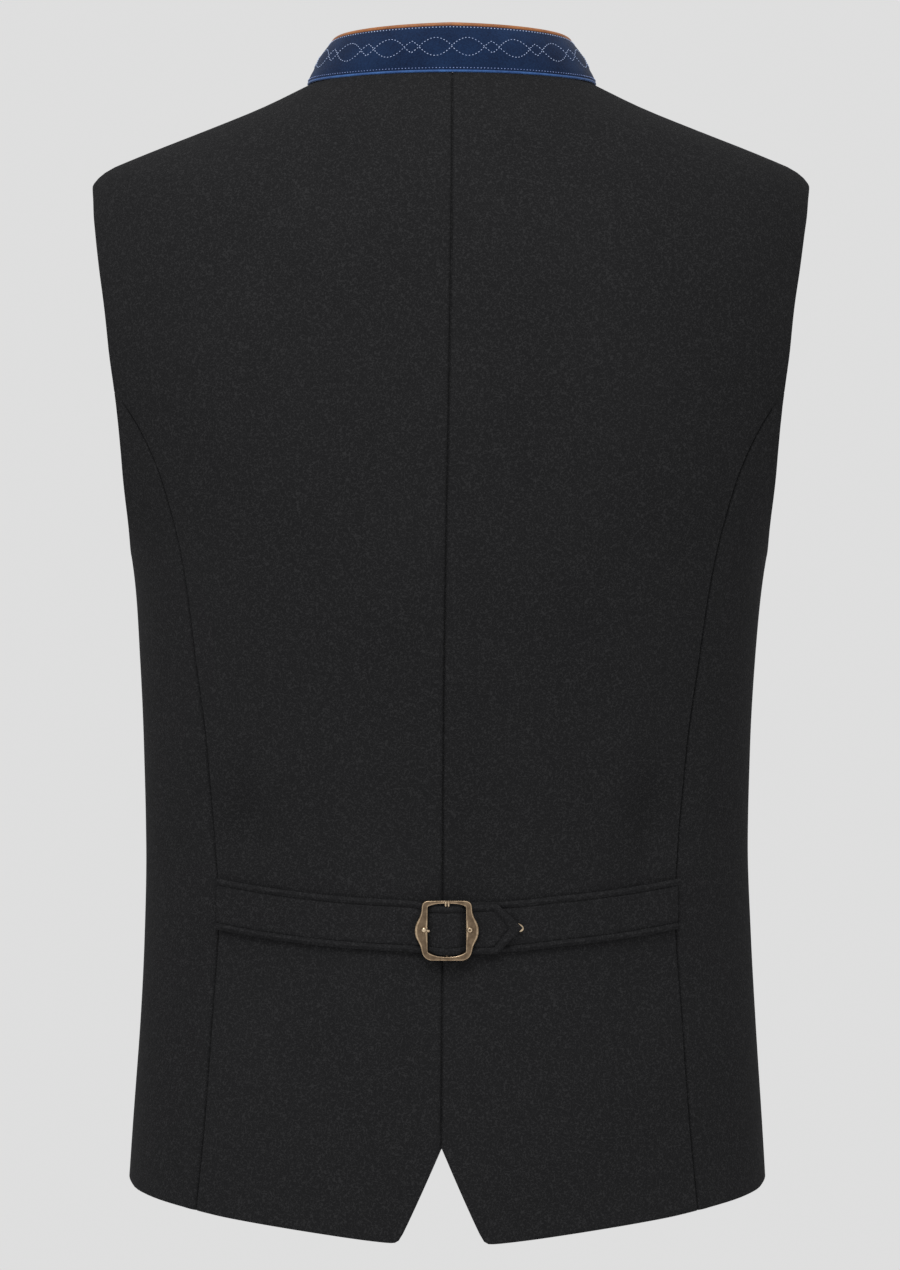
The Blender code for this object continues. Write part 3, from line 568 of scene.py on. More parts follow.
def skirtPath(left, right, drop, side, bent):
    top = panel["skirtTop"]

    def path(u):
        level = top + drop * (panel["hemMiddle"] - top) + 0 * u
        guess = left(level) + (right(level) - left(level)) * u
        if not bent:
            return guess, level
        x = bodyPoint(guess, level)[..., 0] - middleAt(level)
        z = top + drop * (hemAt(side * x) - top)
        return left(z) + (right(z) - left(z)) * u, z
    return path


def skirtRow(left, right, drop, inner, side, lift):
    level, bent = (skirtPath(left, right, drop, side, bend) for bend in (False, True))
    return placeRow(level, inner, side, lift, bent)


def seamLift(distance):
    # A crisp line where the stitching pulls, inside a shallow soft one
    return (-panel["seamDip"] * hump(distance, panel["dipReach"])
            - panel["softDip"] * hump(distance, panel["softReach"]))


def edgeLift(distance):
    return -panel["edgeDip"] * hump(distance, panel["edgeReach"])


def princessLift(distance, z):
    # The seam's dip fades out where it runs into the armhole
    return seamLift(distance) * ramp(z, -149.0, -166.0)


def allowanceLift(distance, width, height):
    # The pressed-open turnings inside show as a faint step beside a seam
    return height * (1 - ramp(distance, width - 0.9, width + 0.9)) * ramp(distance, 0.5, 2.5)


skirtDrops = np.concatenate([np.linspace(0, 1, 26)[1:-1], [0.986, 0.994, 0.998, 1.0]])


def hemLift(drop):
    return edgeLift((1 - drop) * (panel["skirtTop"] - panel["hemMiddle"]))


def finishPanel(name, rows, node):
    rows = np.array(rows)
    piece = clothPiece(name, rows, panel["cloth"], wool)
    settle(piece, "wool", node)
    length = max(runAlong(rows[:, column])[-1] for column in range(0, rows.shape[1], 6))
    length += 2 * panel["allowance"]
    rims = [rows[0], rows[-1], rows[:, 0], rows[:, -1]]
    across, down = np.diff(rows, axis=1)[:-1], np.diff(rows, axis=0)[:, :-1]
    area = np.linalg.norm(np.cross(across, down), axis=-1).sum()
    area += sum(runAlong(rim)[-1] for rim in rims) * panel["allowance"]
    return piece


def backPanel(name, side, node):
    def left(z):
        return side * centreSeam(z)

    junction = armholeTurn(panel["princessTop"])

    def lift(rightSide, drop=0.0):
        def shape(angle, z, fromLeft, fromRight):
            sewn = ramp(z, -561.0, -557.0)
            swell = sewn * seamLift(fromLeft) + (1 - sewn) * edgeLift(fromLeft)
            swell = swell * (1 - 0.4 * ramp(z, 17.0, 24.0))
            sides = {"seam": seamLift(fromRight), "armhole": edgeLift(fromRight),
                     "princess": princessLift(fromRight, z)}
            swell = swell + sides[rightSide] + hemLift(drop)
            return swell + allowanceLift(fromLeft, 7.0, 0.15 * ramp(z, 0.0, -60.0))
        return shape

    rows, columns = [], panel["backColumns"]

    def addRow(z, end, rightSide):
        rows.append(placeRow(line((left(z), z), end), columns, side, lift(rightSide)))

    for t in np.linspace(0, 1, 15):
        end = shoulderEnd(t)
        z = body["neckHeight"] + (panel["yokeBack"] - body["neckHeight"]) * t
        if t == 0:  # the raw neck edge is tucked up into the collar
            z, end = z + panel["tuck"], (end[0], end[1] + panel["tuck"])
        addRow(z, end, "seam")
    for t in np.linspace(0, 1, 43)[1:]:
        share = t ** 1.4
        z = panel["yokeBack"] + (panel["princessTop"] - panel["yokeBack"]) * share
        end = armhole(junction * share, -body["backReach"])
        addRow(z, end, "armhole")
    for z in np.linspace(panel["princessTop"], panel["skirtTop"], 70)[1:]:
        addRow(z, (princessSeam(z), z), "princess")
    for drop in skirtDrops:
        rows.append(skirtRow(left, princessSeam, drop, columns, side, lift("princess", drop)))
    return finishPanel(name, rows, node)


def sidePanel(name, side, node):
    tipTurn = armholeTurn(panel["sideTip"])

    def right(z):
        return body["sideAngle"] + 0 * z

    def lift(rightSeam, drop=0.0):
        def shape(angle, z, fromLeft, fromRight):
            swell = (seamLift if rightSeam else edgeLift)(fromRight)
            swell = swell + princessLift(fromLeft, z) + hemLift(drop)
            return swell + allowanceLift(fromLeft, 6.8, 0.35 * ramp(z, -425.0, -455.0))
        return shape

    rows, columns = [], panel["sideColumns"]

    def addRow(z, end, rightSeam):
        rows.append(placeRow(line((princessSeam(z), z), end), columns, side, lift(rightSeam)))

    for t in np.linspace(0, 1, 32):
        z = float(np.interp(5 * t, np.arange(6), sideTipRows))
        end = armhole(180 - (180 - tipTurn - 0.05) * (1 - t) ** 1.3, -body["backReach"])
        addRow(z, end, False)
    for t in np.linspace(0, 1, 50)[1:]:
        z = sideTipRows[-1] + (panel["skirtTop"] - sideTipRows[-1]) * t
        foot = body["armholeFoot"]
        addRow(z, (body["sideAngle"], foot + (panel["skirtTop"] - foot) * t), True)
    for drop in skirtDrops:
        rows.append(skirtRow(princessSeam, right, drop, columns, side, lift(True, drop)))
    return finishPanel(name, rows, node)


def frontEdge(z):
    return 180.0 + angleAt(panel["overlap"], z)


def frontPanel(name, side, node):
    turns = np.linspace(90, 95, 51)
    startTurn = np.interp(body["sideAngle"], neckLine(turns)[0], turns)
    endTurn = 180 + math.degrees(math.asin(panel["overlap"] / body["neckHalfWidth"]))
    neckStart, neckEnd = np.transpose(neckLine(np.array([startTurn, endTurn])))
    neckChord = line(neckStart, neckEnd)

    def lift(leftSeam, below=0.0):
        def shape(angle, z, fromLeft, fromRight):
            x = bodyPoint(angle, z)[..., 0] - middleAt(z)
            over = side * panel["overlapLift"] * ramp(x, 44.0, 24.0)
            swell = (seamLift if leftSeam else edgeLift)(fromLeft) + edgeLift(fromRight)
            stitched = -0.15 * hump(fromRight - 5.0, 0.6)
            return over + swell + stitched + below
        return shape

    def curved(start, end, row):
        straight = line(start, end)
        follow = 1 - ramp(row, 0, 16)

        def path(u):
            here, level = straight(u), neckChord(u)
            turn = startTurn + (endTurn - startTurn) * u
            bend = neckLine(turn)
            tuck = panel["tuck"] * (1 + 1.6 * ramp(turn, 95.0, 125.0)) if row == 0 else 0.0
            return (here[0] + follow * (bend[0] - level[0]),
                    here[1] + follow * (bend[1] - level[1]) + tuck)
        return path

    def innerHeight(row):
        if row <= 6:
            return neckEnd[1] + (panel["yokeFront"] - neckEnd[1]) * row / 6
        return panel["yokeFront"] + (panel["frontHem"] - panel["yokeFront"]) * (row - 6) / 24

    places = []
    for t in np.linspace(0, 1, 15):
        places.append((6 * t, shoulderEnd(t), True, 0.0))
    for t in np.linspace(0, 1, 52)[1:]:
        turn = 90 - 90 * math.cos(math.pi * t)
        places.append((6 + 10 * t, armhole(turn, body["frontReach"]), False, 0.0))
    for t in np.linspace(0, 1, 44)[1:]:
        outer = body["armholeFoot"] + (panel["skirtTop"] - body["armholeFoot"]) * t
        places.append((16 + 9 * t, (body["sideAngle"], outer), True, 0.0))
    sideHem = float(hemAt(np.array(panel["sideHalf"])))
    for drop in skirtDrops:
        outer = panel["skirtTop"] + drop * (sideHem - panel["skirtTop"])
        places.append((25 + 5 * drop, (body["sideAngle"], outer), True, float(hemLift(drop))))
    rows = []
    for row, start, seam, below in places:
        z = innerHeight(row)
        rows.append(placeRow(curved(start, (float(frontEdge(z)), z), row),
                             panel["frontColumns"], side, lift(seam, below)))
    return finishPanel(name, rows, node)


for sideName, side in (("left", 1), ("right", -1)):
    backPanel("panel_back_" + sideName, side, "back_" + sideName)
    sidePanel("panel_side_" + sideName, side, "side_" + sideName)
    frontPanel("panel_front_" + sideName, side, "front_" + sideName)
print("panels sewn")


# Stand collar with its pipings and embroidery

collar = {
    "shape": np.array([
        # angle round the neck, slant height with both trims, inward lean
        (0.0, 29.0, 0.33), (60.0, 28.0, 0.43), (90.0, 26.6, 0.52), (135.0, 25.0, 0.35),
        (180.0, 24.0, 0.10),
    ]),
    "wall": 2.4, "crown": 2.0, "end": 177.4, "corner": 7.0, "neckCord": 0.8, "piping": 1.0,
    "trimGap": 0.2, "cadGap": 0.5, "flare": 1.7, "cordRadius": 0.78, "cordOut": 0.6,
    "cordDrop": 0.55, "cordFlare": 0.7, "cordFront": 0.5, "edgeProud": 0.15, "edgeExtra": 0.2,
    "oval": 18.0, "diamond": 8.5, "ovalRise": 5.3, "diamondRise": 3.6,
    # length, width and pitch of a stitch
    "chainStitch": (0.95, 0.5, 1.9), "topStitch": (0.75, 0.66, 1.9),
    "baseStitch": (0.75, 0.62, 1.9), "topSeam": 1.2, "baseSeam": 1.3,
}


def neckFrames(turns):
    point, normal = bodyFrame(*neckLine(turns))
    ahead = unit(bodyPoint(*neckLine(turns + 0.5)) - bodyPoint(*neckLine(turns - 0.5)))
    pastRim = np.cross(ahead, normal)
    pastRim = pastRim * np.sign(pastRim[:, 2:] + 1e-9)
    inward = unit(np.cross(ahead, [0.0, 0.0, 1.0]))
    inward = inward * -np.sign(np.sum(inward * point * [1, 1, 0], axis=-1, keepdims=True))
    stand = inward * smoothAt(collar["shape"], 2, np.abs(turns))[:, None] + [0.0, 0.0, 1.0]
    stand = unit(stand - ahead * np.sum(stand * ahead, axis=-1, keepdims=True))
    out = np.cross(stand, ahead)
    out = out * -np.sign(np.sum(out * inward, axis=-1, keepdims=True))
    cord = point + pastRim * (collar["neckCord"] + collar["cadGap"])
    return cord, stand, out


def collarTop(turns):
    slant = smoothAt(collar["shape"], 1, np.abs(turns)) - 2 * collar["piping"] - collar["cadGap"]
    fromEnd = np.radians(collar["end"] - np.abs(turns)) * body["neckHalfWidth"]
    short = np.clip(collar["corner"] - fromEnd, 0, collar["corner"])
    return slant - collar["corner"] + np.sqrt(collar["corner"] ** 2 - short**2)


def flareAt(turns):
    # At the neck's sides the collar kicks out a little where it meets the shoulder
    return collar["flare"] * ramp(np.abs(turns), 40.0, 75.0) * ramp(np.abs(turns), 160.0, 125.0)


def collarAt(turns, share, proud):
    # A place on the collar's outer face: share 0 at the neck cord and 1 at the top
    cord, stand, out = neckFrames(turns)
    # The lower edge reaches further down in front, over the fronts' neck edge
    base = -0.4 - 0.8 * ramp(np.abs(turns), 95.0, 120.0)
    top = collarTop(turns) + collar["cadGap"] - collar["trimGap"]
    rise = base + (top - base) * share
    swell = collar["wall"] / 2 + collar["crown"] * np.sin(math.pi * share) + proud
    swell = swell + flareAt(turns) * np.clip(1 - share / 0.35, 0, 1) ** 2
    return cord + stand * rise[:, None] + out * np.asarray(swell + 0 * turns)[:, None], out


close = collar["end"] - np.array([0.0, 0.4, 1.0, 1.9, 3.0, 4.3, 5.8, 7.5])


def turnsRound(count):
    # Turns from one front end to the other, closer together near the ends
    middle = np.linspace(-close[-1], close[-1], count)[1:-1]
    return np.concatenate([-close, middle, close[::-1]])


collarTurns = turnsRound(150)
collarRows = []
for share in (1.0, 0.985, 0.96, 0.92, 0.87, 0.8, 0.72, 0.62, 0.5, 0.38, 0.28, 0.2, 0.13, 0.08,
              0.04, 0.015, 0.0):
    toEdge = min(share, 1 - share) * 25.0
    fold = 0.35 * ramp(np.abs(collarTurns), 30.0, 55.0) * math.exp(-((share - 0.17) / 0.07) ** 2)
    proud = fold - 0.45 * math.exp(-(toEdge / 0.5) ** 2)
    collarRows.append(collarAt(collarTurns, share, proud)[0])
collarPiece = clothPiece("collar_suede", collarRows, collar["wall"], suede)
settle(collarPiece, "suede", "collar")

cordTurns = np.linspace(-collar["end"], collar["end"], 260)
cordPath, cordStand, cordOut = neckFrames(cordTurns)
cordPath = cordPath - collar["cordDrop"] * cordStand
cordProud = (collar["cordOut"] + collar["cordFlare"] * flareAt(cordTurns)
             + collar["cordFront"] * ramp(np.abs(cordTurns), 100.0, 125.0))
cordPath = cordPath + cordOut * cordProud[:, None]
neckCord = tubePiece("collar_neck_cord", cordPath, collar["cordRadius"], blueCord)
settle(neckCord, "cord", "collar_seam_piping")

edgeTurns = turnsRound(200)
edgeCord, edgeStand, edgeOut = neckFrames(edgeTurns)
edgeTop = collarTop(edgeTurns)
base = collar["neckCord"] + collar["cadGap"]
rises = np.linspace(0.1, 0.8, 6)[:, None]
ends = [edgeCord[[end]] + edgeStand[[end]] * (base + (edgeTop[end] - base) * rises)
        for end in (0, -1)]
edge = np.concatenate([ends[0], edgeCord + edgeStand * edgeTop[:, None], ends[1][::-1]])
face = np.concatenate([edgeOut[[0] * 6], edgeOut, edgeOut[[-1] * 6]])
beyond = unit(np.cross(np.gradient(edge, axis=0), face))
beyond = beyond * np.sign(beyond[len(beyond) // 2, 2])
edgePath = edge + beyond * (collar["trimGap"] + collar["piping"])
edgePath = edgePath + face * collar["edgeProud"]
edgePiping = tubePiece("collar_edge_leather", edgePath, collar["piping"] + collar["edgeExtra"],
                       tanLeather, 4)
settle(edgePiping, "leather", "collar_edge_piping")

# Stitched chain of ovals and small diamonds, two strands that mirror each other
fine = np.linspace(-collar["end"] + 4, collar["end"] - 4, 1600)
midLine = runAlong(collarAt(fine, 0.5, 0.0)[0])
midLine = midLine - np.interp(0.0, fine, midLine)
period = collar["oval"] + collar["diamond"]
along = np.mod(np.abs(midLine), period)
inOval = along < collar["oval"]
t = np.where(inOval, along / collar["oval"], (along - collar["oval"]) / collar["diamond"])
wave = np.where(inOval, collar["ovalRise"] * np.sin(math.pi * t) ** 0.85,
                collar["diamondRise"] * (1 - np.abs(2 * t - 1)) ** 0.9)
height = collarTop(fine)
strands = [collarAt(fine, 0.5 + sign * wave / height, 0.12) for sign in (1, -1)]
chain = sewPiece("collar_embroidery", strands, collar["chainStitch"], lilacThread, "cord")
topStitches = sewPiece("collar_top_stitches",
                       [collarAt(fine, 1 - collar["topSeam"] / height, 0.05)],
                       collar["topStitch"], lilacThread, "cord")
baseStitches = sewPiece("collar_base_stitches",
                        [collarAt(fine, collar["baseSeam"] / height, 0.1)],
                        collar["baseStitch"], slateThread, "cord")
print("collar ready")


# Belt: the pointed strap from the wearer's left and the strap that holds the buckle

belt = {
    "middle": -439.6, "rise": 10.5, "riseAt": 125.0, "half": 13.5, "wall": 1.4,
    "groove": 3.2, "grooveDepth": 1.0, "bow": 1.2, "bowHalf": 9.0, "tipStart": -27.0,
    "tipReach": 13.2, "anchorHalf": 13.3,
    "barRadius": 0.55, "barLift": 3.15, "brassGap": 0.35, "windowHalf": 11.7, "windowDrop": 1.8,
    "lie": 1.6, "anchorDrop": 0.9, "stitchProud": 0.12, "tackAt": 28.3,
    # length, width and pitch of a stitch
    "edgeStitch": (1.5, 0.45, 2.1), "tackStitch": (1.1, 0.4, 2.4),
    "tongue": np.array([
        # across, lift, half width, drop
        (125.0, 1.60, 13.5, 0.0), (34.0, 1.60, 13.5, 0.0), (24.0, 1.75, 13.5, 0.0),
        (17.0, 2.60, 13.4, 0.4), (10.9, 3.30, 12.6, 1.2), (9.8, 3.60, 12.3, 1.4),
        (6.8, 5.20, 12.2, 1.5), (3.5, 6.35, 12.2, 1.5), (0.0, 6.50, 12.2, 1.5),
        (-5.4, 6.45, 12.2, 1.5), (-7.6, 4.90, 12.2, 1.5), (-9.8, 3.60, 12.3, 1.5),
        (-10.9, 3.42, 12.5, 1.6), (-17.0, 3.42, 13.0, 1.8), (-27.0, 3.95, 13.0, 1.8),
        (-34.0, 4.30, 13.0, 1.8), (-40.2, 4.40, 13.0, 1.8),
    ])[::-1],
    "acrossStops": np.array([0.0, 0.3, 0.7, 1.4, 2.2, 2.7, 3.0, 3.2, 3.4, 3.7, 4.3, 5.5, 7.5,
                             10.5, 13.5]),
}


def beltHeight(x):
    return belt["middle"] + belt["rise"] * (x / belt["riseAt"]) ** 2


def beltPoint(x, across, lift):
    z = beltHeight(x)
    angle = angleAt(x, z)
    point, normal = bodyFrame(angle, z)
    up = unit(np.array([0.0, 0.0, 1.0]) - normal * normal[..., 2:])
    across = across + 0 * x
    lift = lift + cinchAt(angle, z)
    return point + up * across[..., None] + normal * np.asarray(lift)[..., None], normal


def strapRelief(fromEdge):
    groove = -belt["grooveDepth"] * hump(fromEdge - belt["groove"], 0.5)
    return groove - 0.35 * hump(fromEdge, 0.45) + 0.55 * hump(fromEdge - 1.5, 0.9)


stopShares = 1 - belt["acrossStops"] / belt["half"]
acrossShares = np.concatenate([stopShares, -stopShares[-2::-1]])


def tonguePlace(b, share, proud=0.0):
    # b runs along the strap; near its end the rows bend into the point
    point = 1 - ramp(b, belt["tipStart"], -10.0)
    x = b - belt["tipReach"] * (1 - np.abs(share)) * point
    half = np.interp(b, belt["tongue"][:, 0], belt["tongue"][:, 2])
    lift = smoothAt(belt["tongue"], 1, x)
    drop = smoothAt(belt["tongue"], 3, x)
    fromEnd = (b - belt["tipStart"]) * 0.714
    fromEdge = np.minimum((1 - np.abs(share)) * half, fromEnd + 0 * share)
    # In the buckle's window the lower edge sags to the bottom rail
    sag = belt["bow"] * np.clip(1 - (x / belt["bowHalf"]) ** 2, 0, 1) * np.clip(-share, 0, 1)
    return beltPoint(x, share * half - drop - sag, lift + strapRelief(fromEdge) + proud)


tongueRun = np.concatenate([
    np.linspace(125.0, 26.0, 50), np.linspace(24.5, -12.0, 44),
    np.array([-14.0, -16.0, -18.0, -19.5, -20.8, -21.7, -22.2, -22.5, -22.9, -23.4, -24.2,
              -25.2, -26.0, -26.5, -27.0])])
tongueRows = [tonguePlace(b, acrossShares)[0] for b in tongueRun]
tongue = clothPiece("belt_tongue_cloth", np.array(tongueRows).transpose(1, 0, 2), belt["wall"],
                    wool, offset=0.0, even=True)
settle(tongue, "wool", "belt_tongue")


def anchorDrop(x):
    return belt["anchorDrop"] * ramp(-x, 62.0, 34.0)


bend = belt["barRadius"] + belt["brassGap"] + belt["wall"] / 2
anchorRun = [(x, belt["lie"], belt["anchorHalf"], float(anchorDrop(x)))
             for x in np.linspace(-125.0, -12.0, 58)]
anchorRun += [(-9.5, 1.75, 12.8, 0.8), (-7.0, 1.85, 12.3, 1.3), (-4.0, 1.95, 11.9, 1.6)]
for turn in np.radians(np.linspace(-90, 90, 14)):
    anchorRun.append((bend * math.cos(turn), belt["barLift"] + bend * math.sin(turn),
                      belt["windowHalf"], belt["windowDrop"]))
anchorRun.append((-5.0, belt["barLift"] + bend, belt["windowHalf"], belt["windowDrop"]))
anchorRows = []
for x, lift, half, drop in anchorRun:
    fromEdge = (1 - np.abs(acrossShares)) * half
    anchorRows.append(beltPoint(x + 0 * acrossShares, acrossShares * half - drop,
                                lift + strapRelief(fromEdge) * (1 if x < -7 else 0.5))[0])
anchor = clothPiece("belt_anchor_cloth", np.array(anchorRows).transpose(1, 0, 2), belt["wall"],
                    wool, offset=0.0, even=True)
settle(anchor, "wool", "belt_anchor")


def tongueSeam(share, start, end):
    b = np.linspace(start, end, 200)
    half = np.interp(b, belt["tongue"][:, 0], belt["tongue"][:, 2])
    across = np.sign(share) * (1 - belt["groove"] / half)
    return tonguePlace(b, across, belt["wall"] / 2 + belt["stitchProud"])


def anchorSeam(sign):
    x = np.linspace(-124.0, -17.5, 200)
    across = sign * (belt["anchorHalf"] - belt["groove"]) - anchorDrop(x)
    lift = belt["lie"] + belt["wall"] / 2 - belt["grooveDepth"] + belt["stitchProud"]
    return beltPoint(x, across, lift)


tipShares = np.linspace(-0.763, 0.763, 80)
tipSeam = tonguePlace(np.full(80, belt["tipStart"] + 4.48), tipShares,
                      belt["wall"] / 2 + belt["stitchProud"])
beltStitches = sewPiece("belt_stitches", [
    tongueSeam(1, 124.0, -22.5), tongueSeam(-1, 124.0, -22.5), tipSeam,
    anchorSeam(1), anchorSeam(-1)], belt["edgeStitch"], blackThread, "wool")
tackSeam = beltPoint(np.full(40, belt["tackAt"]), np.linspace(9.0, -8.5, 40),
                     belt["lie"] + belt["wall"] / 2 + 0.1)
tack = sewPiece("belt_tack_stitches", [tackSeam], belt["tackStitch"], charcoalThread, "wool")
print("belt laid")


# Buckle with its hook, peg, rivet and bar, and the catch past the belt's tip

buckle = {
    "middle": -441.7, "low": 4.6, "thick": 2.2, "half": 13.5, "swell": 3.7, "reach": 7.0,
    "sharpness": 2.6, "top": 16.2, "bottom": -16.1, "topCorner": 3.2, "bottomCorner": 5.5,
    "windowHalf": 10.2, "windowTop": 14.6, "arch": 1.8, "windowBottom": -13.9, "sag": 2.6,
    "hookAt": 13.75, "prong": 0.5,
    "pegAt": (-12.2, 0.6), "rivetAt": (12.3, 0.5),
}


def turnOut(angle, z):
    # Axes of a flat trim on the cloth: across, up and outward
    out = Vector(bodyFrame(angle, z)[1])
    across = Vector((0, 0, 1)).cross(out).normalized()
    return Matrix((across, out.cross(across), out)).transposed()


nought = np.array(0.0)
buckleAt = beltPoint(nought, buckle["middle"] - belt["middle"], 0.0)[0]
buckleTurn = turnOut(nought, beltHeight(nought))


def onBuckle(points):
    return np.asarray(points) @ np.array(buckleTurn).T + buckleAt


def frameOutline():
    heights = np.linspace(buckle["bottom"] + buckle["bottomCorner"],
                          buckle["top"] - buckle["topCorner"], 60)
    right = [(buckle["half"] + buckle["swell"]
              * math.exp(-abs(v / buckle["reach"]) ** buckle["sharpness"]), v) for v in heights]

    def corner(level, size, up):
        return [(buckle["half"] - size * (1 - math.cos(turn)),
                 level - up * size * (1 - math.sin(turn)))
                for turn in np.radians(np.linspace(10, 90, 9))]

    lower = corner(buckle["bottom"], buckle["bottomCorner"], -1)[::-1]
    right = lower + right + corner(buckle["top"], buckle["topCorner"], 1)
    return np.array(right + [(-x, y) for x, y in reversed(right)])


def windowOutline():
    shares = np.linspace(-1, 1, 41)
    half = buckle["windowHalf"]
    top = [(half * s, buckle["windowTop"] - buckle["arch"] * abs(s) ** 3) for s in shares[::-1]]
    bottom = [(half * s, buckle["windowBottom"] + buckle["sag"] * abs(s) ** 2.4) for s in shares]
    high, low = top[0][1], bottom[0][1]
    sides = np.linspace(0, 1, 20)[1:-1]
    left = [(-half, high + (low - high) * s) for s in sides]
    right = [(half, low + (high - low) * s) for s in sides]
    return np.array(bottom + right + top + left)


def byAngle(outline, angles):
    # The outline is first cut into short steps, so that straight rails stay straight
    closed = np.vstack([outline, outline[:1]])
    run = runAlong(closed)
    stops = np.linspace(0, run[-1], 900)[:-1]
    outline = np.column_stack([np.interp(stops, run, closed[:, axis]) for axis in (0, 1)])
    turn = np.arctan2(outline[:, 1], outline[:, 0])
    order = np.argsort(turn)
    reach = np.interp(angles, turn[order], np.hypot(*outline.T)[order], period=2 * math.pi)
    return np.column_stack([reach * np.cos(angles), reach * np.sin(angles)])


frameSteps = 160
angles = np.arange(frameSteps) * 2 * math.pi / frameSteps
outerEdge, innerEdge = byAngle(frameOutline(), angles), byAngle(windowOutline(), angles)
# share from the outer edge to the inner one, and height above the frame's underside
profile = [(0.0, 1.0), (0.01, 1.5), (0.05, 1.95), (0.12, 2.2), (0.18, 2.22), (0.26, 2.08),
           (0.50, 2.02), (0.74, 2.08), (0.82, 2.22), (0.88, 2.2), (0.95, 1.95), (0.99, 1.5),
           (1.0, 1.0), (0.98, 0.3), (0.9, 0.0), (0.5, 0.0), (0.1, 0.0), (0.02, 0.3)]
bpy.ops.mesh.primitive_torus_add(major_segments=frameSteps, minor_segments=len(profile),
                                 major_radius=0.014, minor_radius=0.002)
buckleFrame = activeAs("buckle_frame_cast")
spots = []
for outer, inner in zip(outerEdge, innerEdge):
    for share, up in profile:
        x, y = outer + (inner - outer) * share
        spots.append((x, y, buckle["low"] + up))
setPoints(buckleFrame, onBuckle(spots))
buckleFrame.data.materials.append(antiqueBrass)
buckleFrame.data.materials.append(rubbedHighlightBrass)
# The frame's rounded rims take the rubbed brass: worn bright, and lighter also as a painted
# highlight where they catch the light
highlightRimBands = {1, 2, 3, 8, 9, 10}
for polygon in buckleFrame.data.polygons:
    minor = sorted(index % len(profile) for index in polygon.vertices)
    band = minor[0] if minor[-1] - minor[0] < 3 else minor[-1]
    polygon.material_index = 1 if band in highlightRimBands else 0
smoothShade(buckleFrame, 60.0)
settle(buckleFrame, "brass", "buckle_frame")

faceLift = buckle["low"] + buckle["thick"] + belt["brassGap"]
over = faceLift + buckle["prong"]
wires = []
# The prongs are in the bright brass, lighter as worn metal and as a painted highlight
for x in (-0.62, 0.92):
    up = buckle["hookAt"]
    route = [(x, 15.5, over - 0.35), (x, 15.2, over), (x, up, over), (x, up - 0.5, over - 0.4),
             (x, up - 0.7, over - 1.2), (x, up - 0.7, belt["barLift"] + 0.7),
             (x * 0.6, up - 1.2, belt["barLift"])]
    wires.append(tubePiece("prong", onBuckle(route), buckle["prong"], brightHighlightBrass, 4))
# The bar is in the same rubbed brass, with its painted highlight
barRoute = [(0.0, 11.8, belt["barLift"]), (0.0, 0.0, belt["barLift"]),
            (0.0, -13.0, belt["barLift"]), (0.0, -15.4, belt["barLift"] + 0.6)]
wires.append(tubePiece("bar", onBuckle(barRoute), belt["barRadius"], rubbedHighlightBrass, 4))
bar = joinPieces(wires, "buckle_bar_and_hook")
settle(bar, "brass", "buckle_bar")


def turnedPiece(name, profile, steps, material):
    # The profile is drawn as edges of a circle's half and spun round Z
    bpy.ops.mesh.primitive_circle_add(vertices=len(profile), radius=0.01)
    piece = activeAs(name)
    setPoints(piece, [(radius, 0.0, up) for radius, up in profile])
    bpy.ops.object.mode_set(mode="EDIT")
    bpy.ops.mesh.select_all(action="SELECT")
    bpy.ops.mesh.spin(steps=steps, angle=2 * math.pi, center=(0, 0, 0), axis=(0, 0, 1))
    bpy.ops.mesh.select_all(action="SELECT")
    bpy.ops.mesh.remove_doubles(threshold=0.00002)
    bpy.ops.object.mode_set(mode="OBJECT")
    facesOutward(piece)
    piece.data.materials.append(material)
    smoothShade(piece, 35.0)
    return piece


def moveInto(piece, turn, place):
    # Turns the mesh and sets it down, and leaves the object at the origin
    piece.data.transform(Matrix.Translation(Vector(place) * mm) @ turn.to_4x4())
    piece.data.update()


# The rivet's ring is in the bright brass, a painted highlight on worn metal
ring = [(0.55, 0.2), (0.5, 0.7), (0.65, 1.0), (0.95, 1.1), (1.3, 0.85), (1.55, 0.4),
        (1.6, 0.0), (0.7, 0.0)]
rivetRing = turnedPiece("rivet_ring", ring, 28, brightHighlightBrass)
rivetCore = turnedPiece("rivet_core", [(0.0, 0.05), (0.6, 0.05), (0.6, 0.3), (0.4, 0.4),
                                       (0.0, 0.42)], 20, antiqueBrass)
rivet = joinPieces([rivetRing, rivetCore], "buckle_rivet_ring")
moveInto(rivet, buckleTurn, onBuckle([(*buckle["rivetAt"], faceLift)])[0])
settle(rivet, "brass", "buckle_rivet")

# The peg is in the bright brass too, with its painted highlight
bpy.ops.mesh.primitive_uv_sphere_add(segments=24, ring_count=14, radius=1.5 * mm)
pegHead = activeAs("peg_head")
pegHead.data.transform(Matrix.Diagonal((1.0, 1.0, 0.86, 1.0)))
pegHead.data.materials.append(brightHighlightBrass)
moveInto(pegHead, buckleTurn, onBuckle([(*buckle["pegAt"], faceLift + 1.1)])[0])
pegRoute = [(-11.8, 0.5, faceLift + 1.0), (-10.4, 0.2, faceLift + 0.9),
            (-9.4, 0.0, faceLift + 0.75)]
pegRod = tubePiece("peg_rod", onBuckle(pegRoute), 0.7, brightHighlightBrass, 4)
smoothShade(pegHead)
peg = joinPieces([pegHead, pegRod], "buckle_peg_head")
settle(peg, "brass", "buckle_peg")
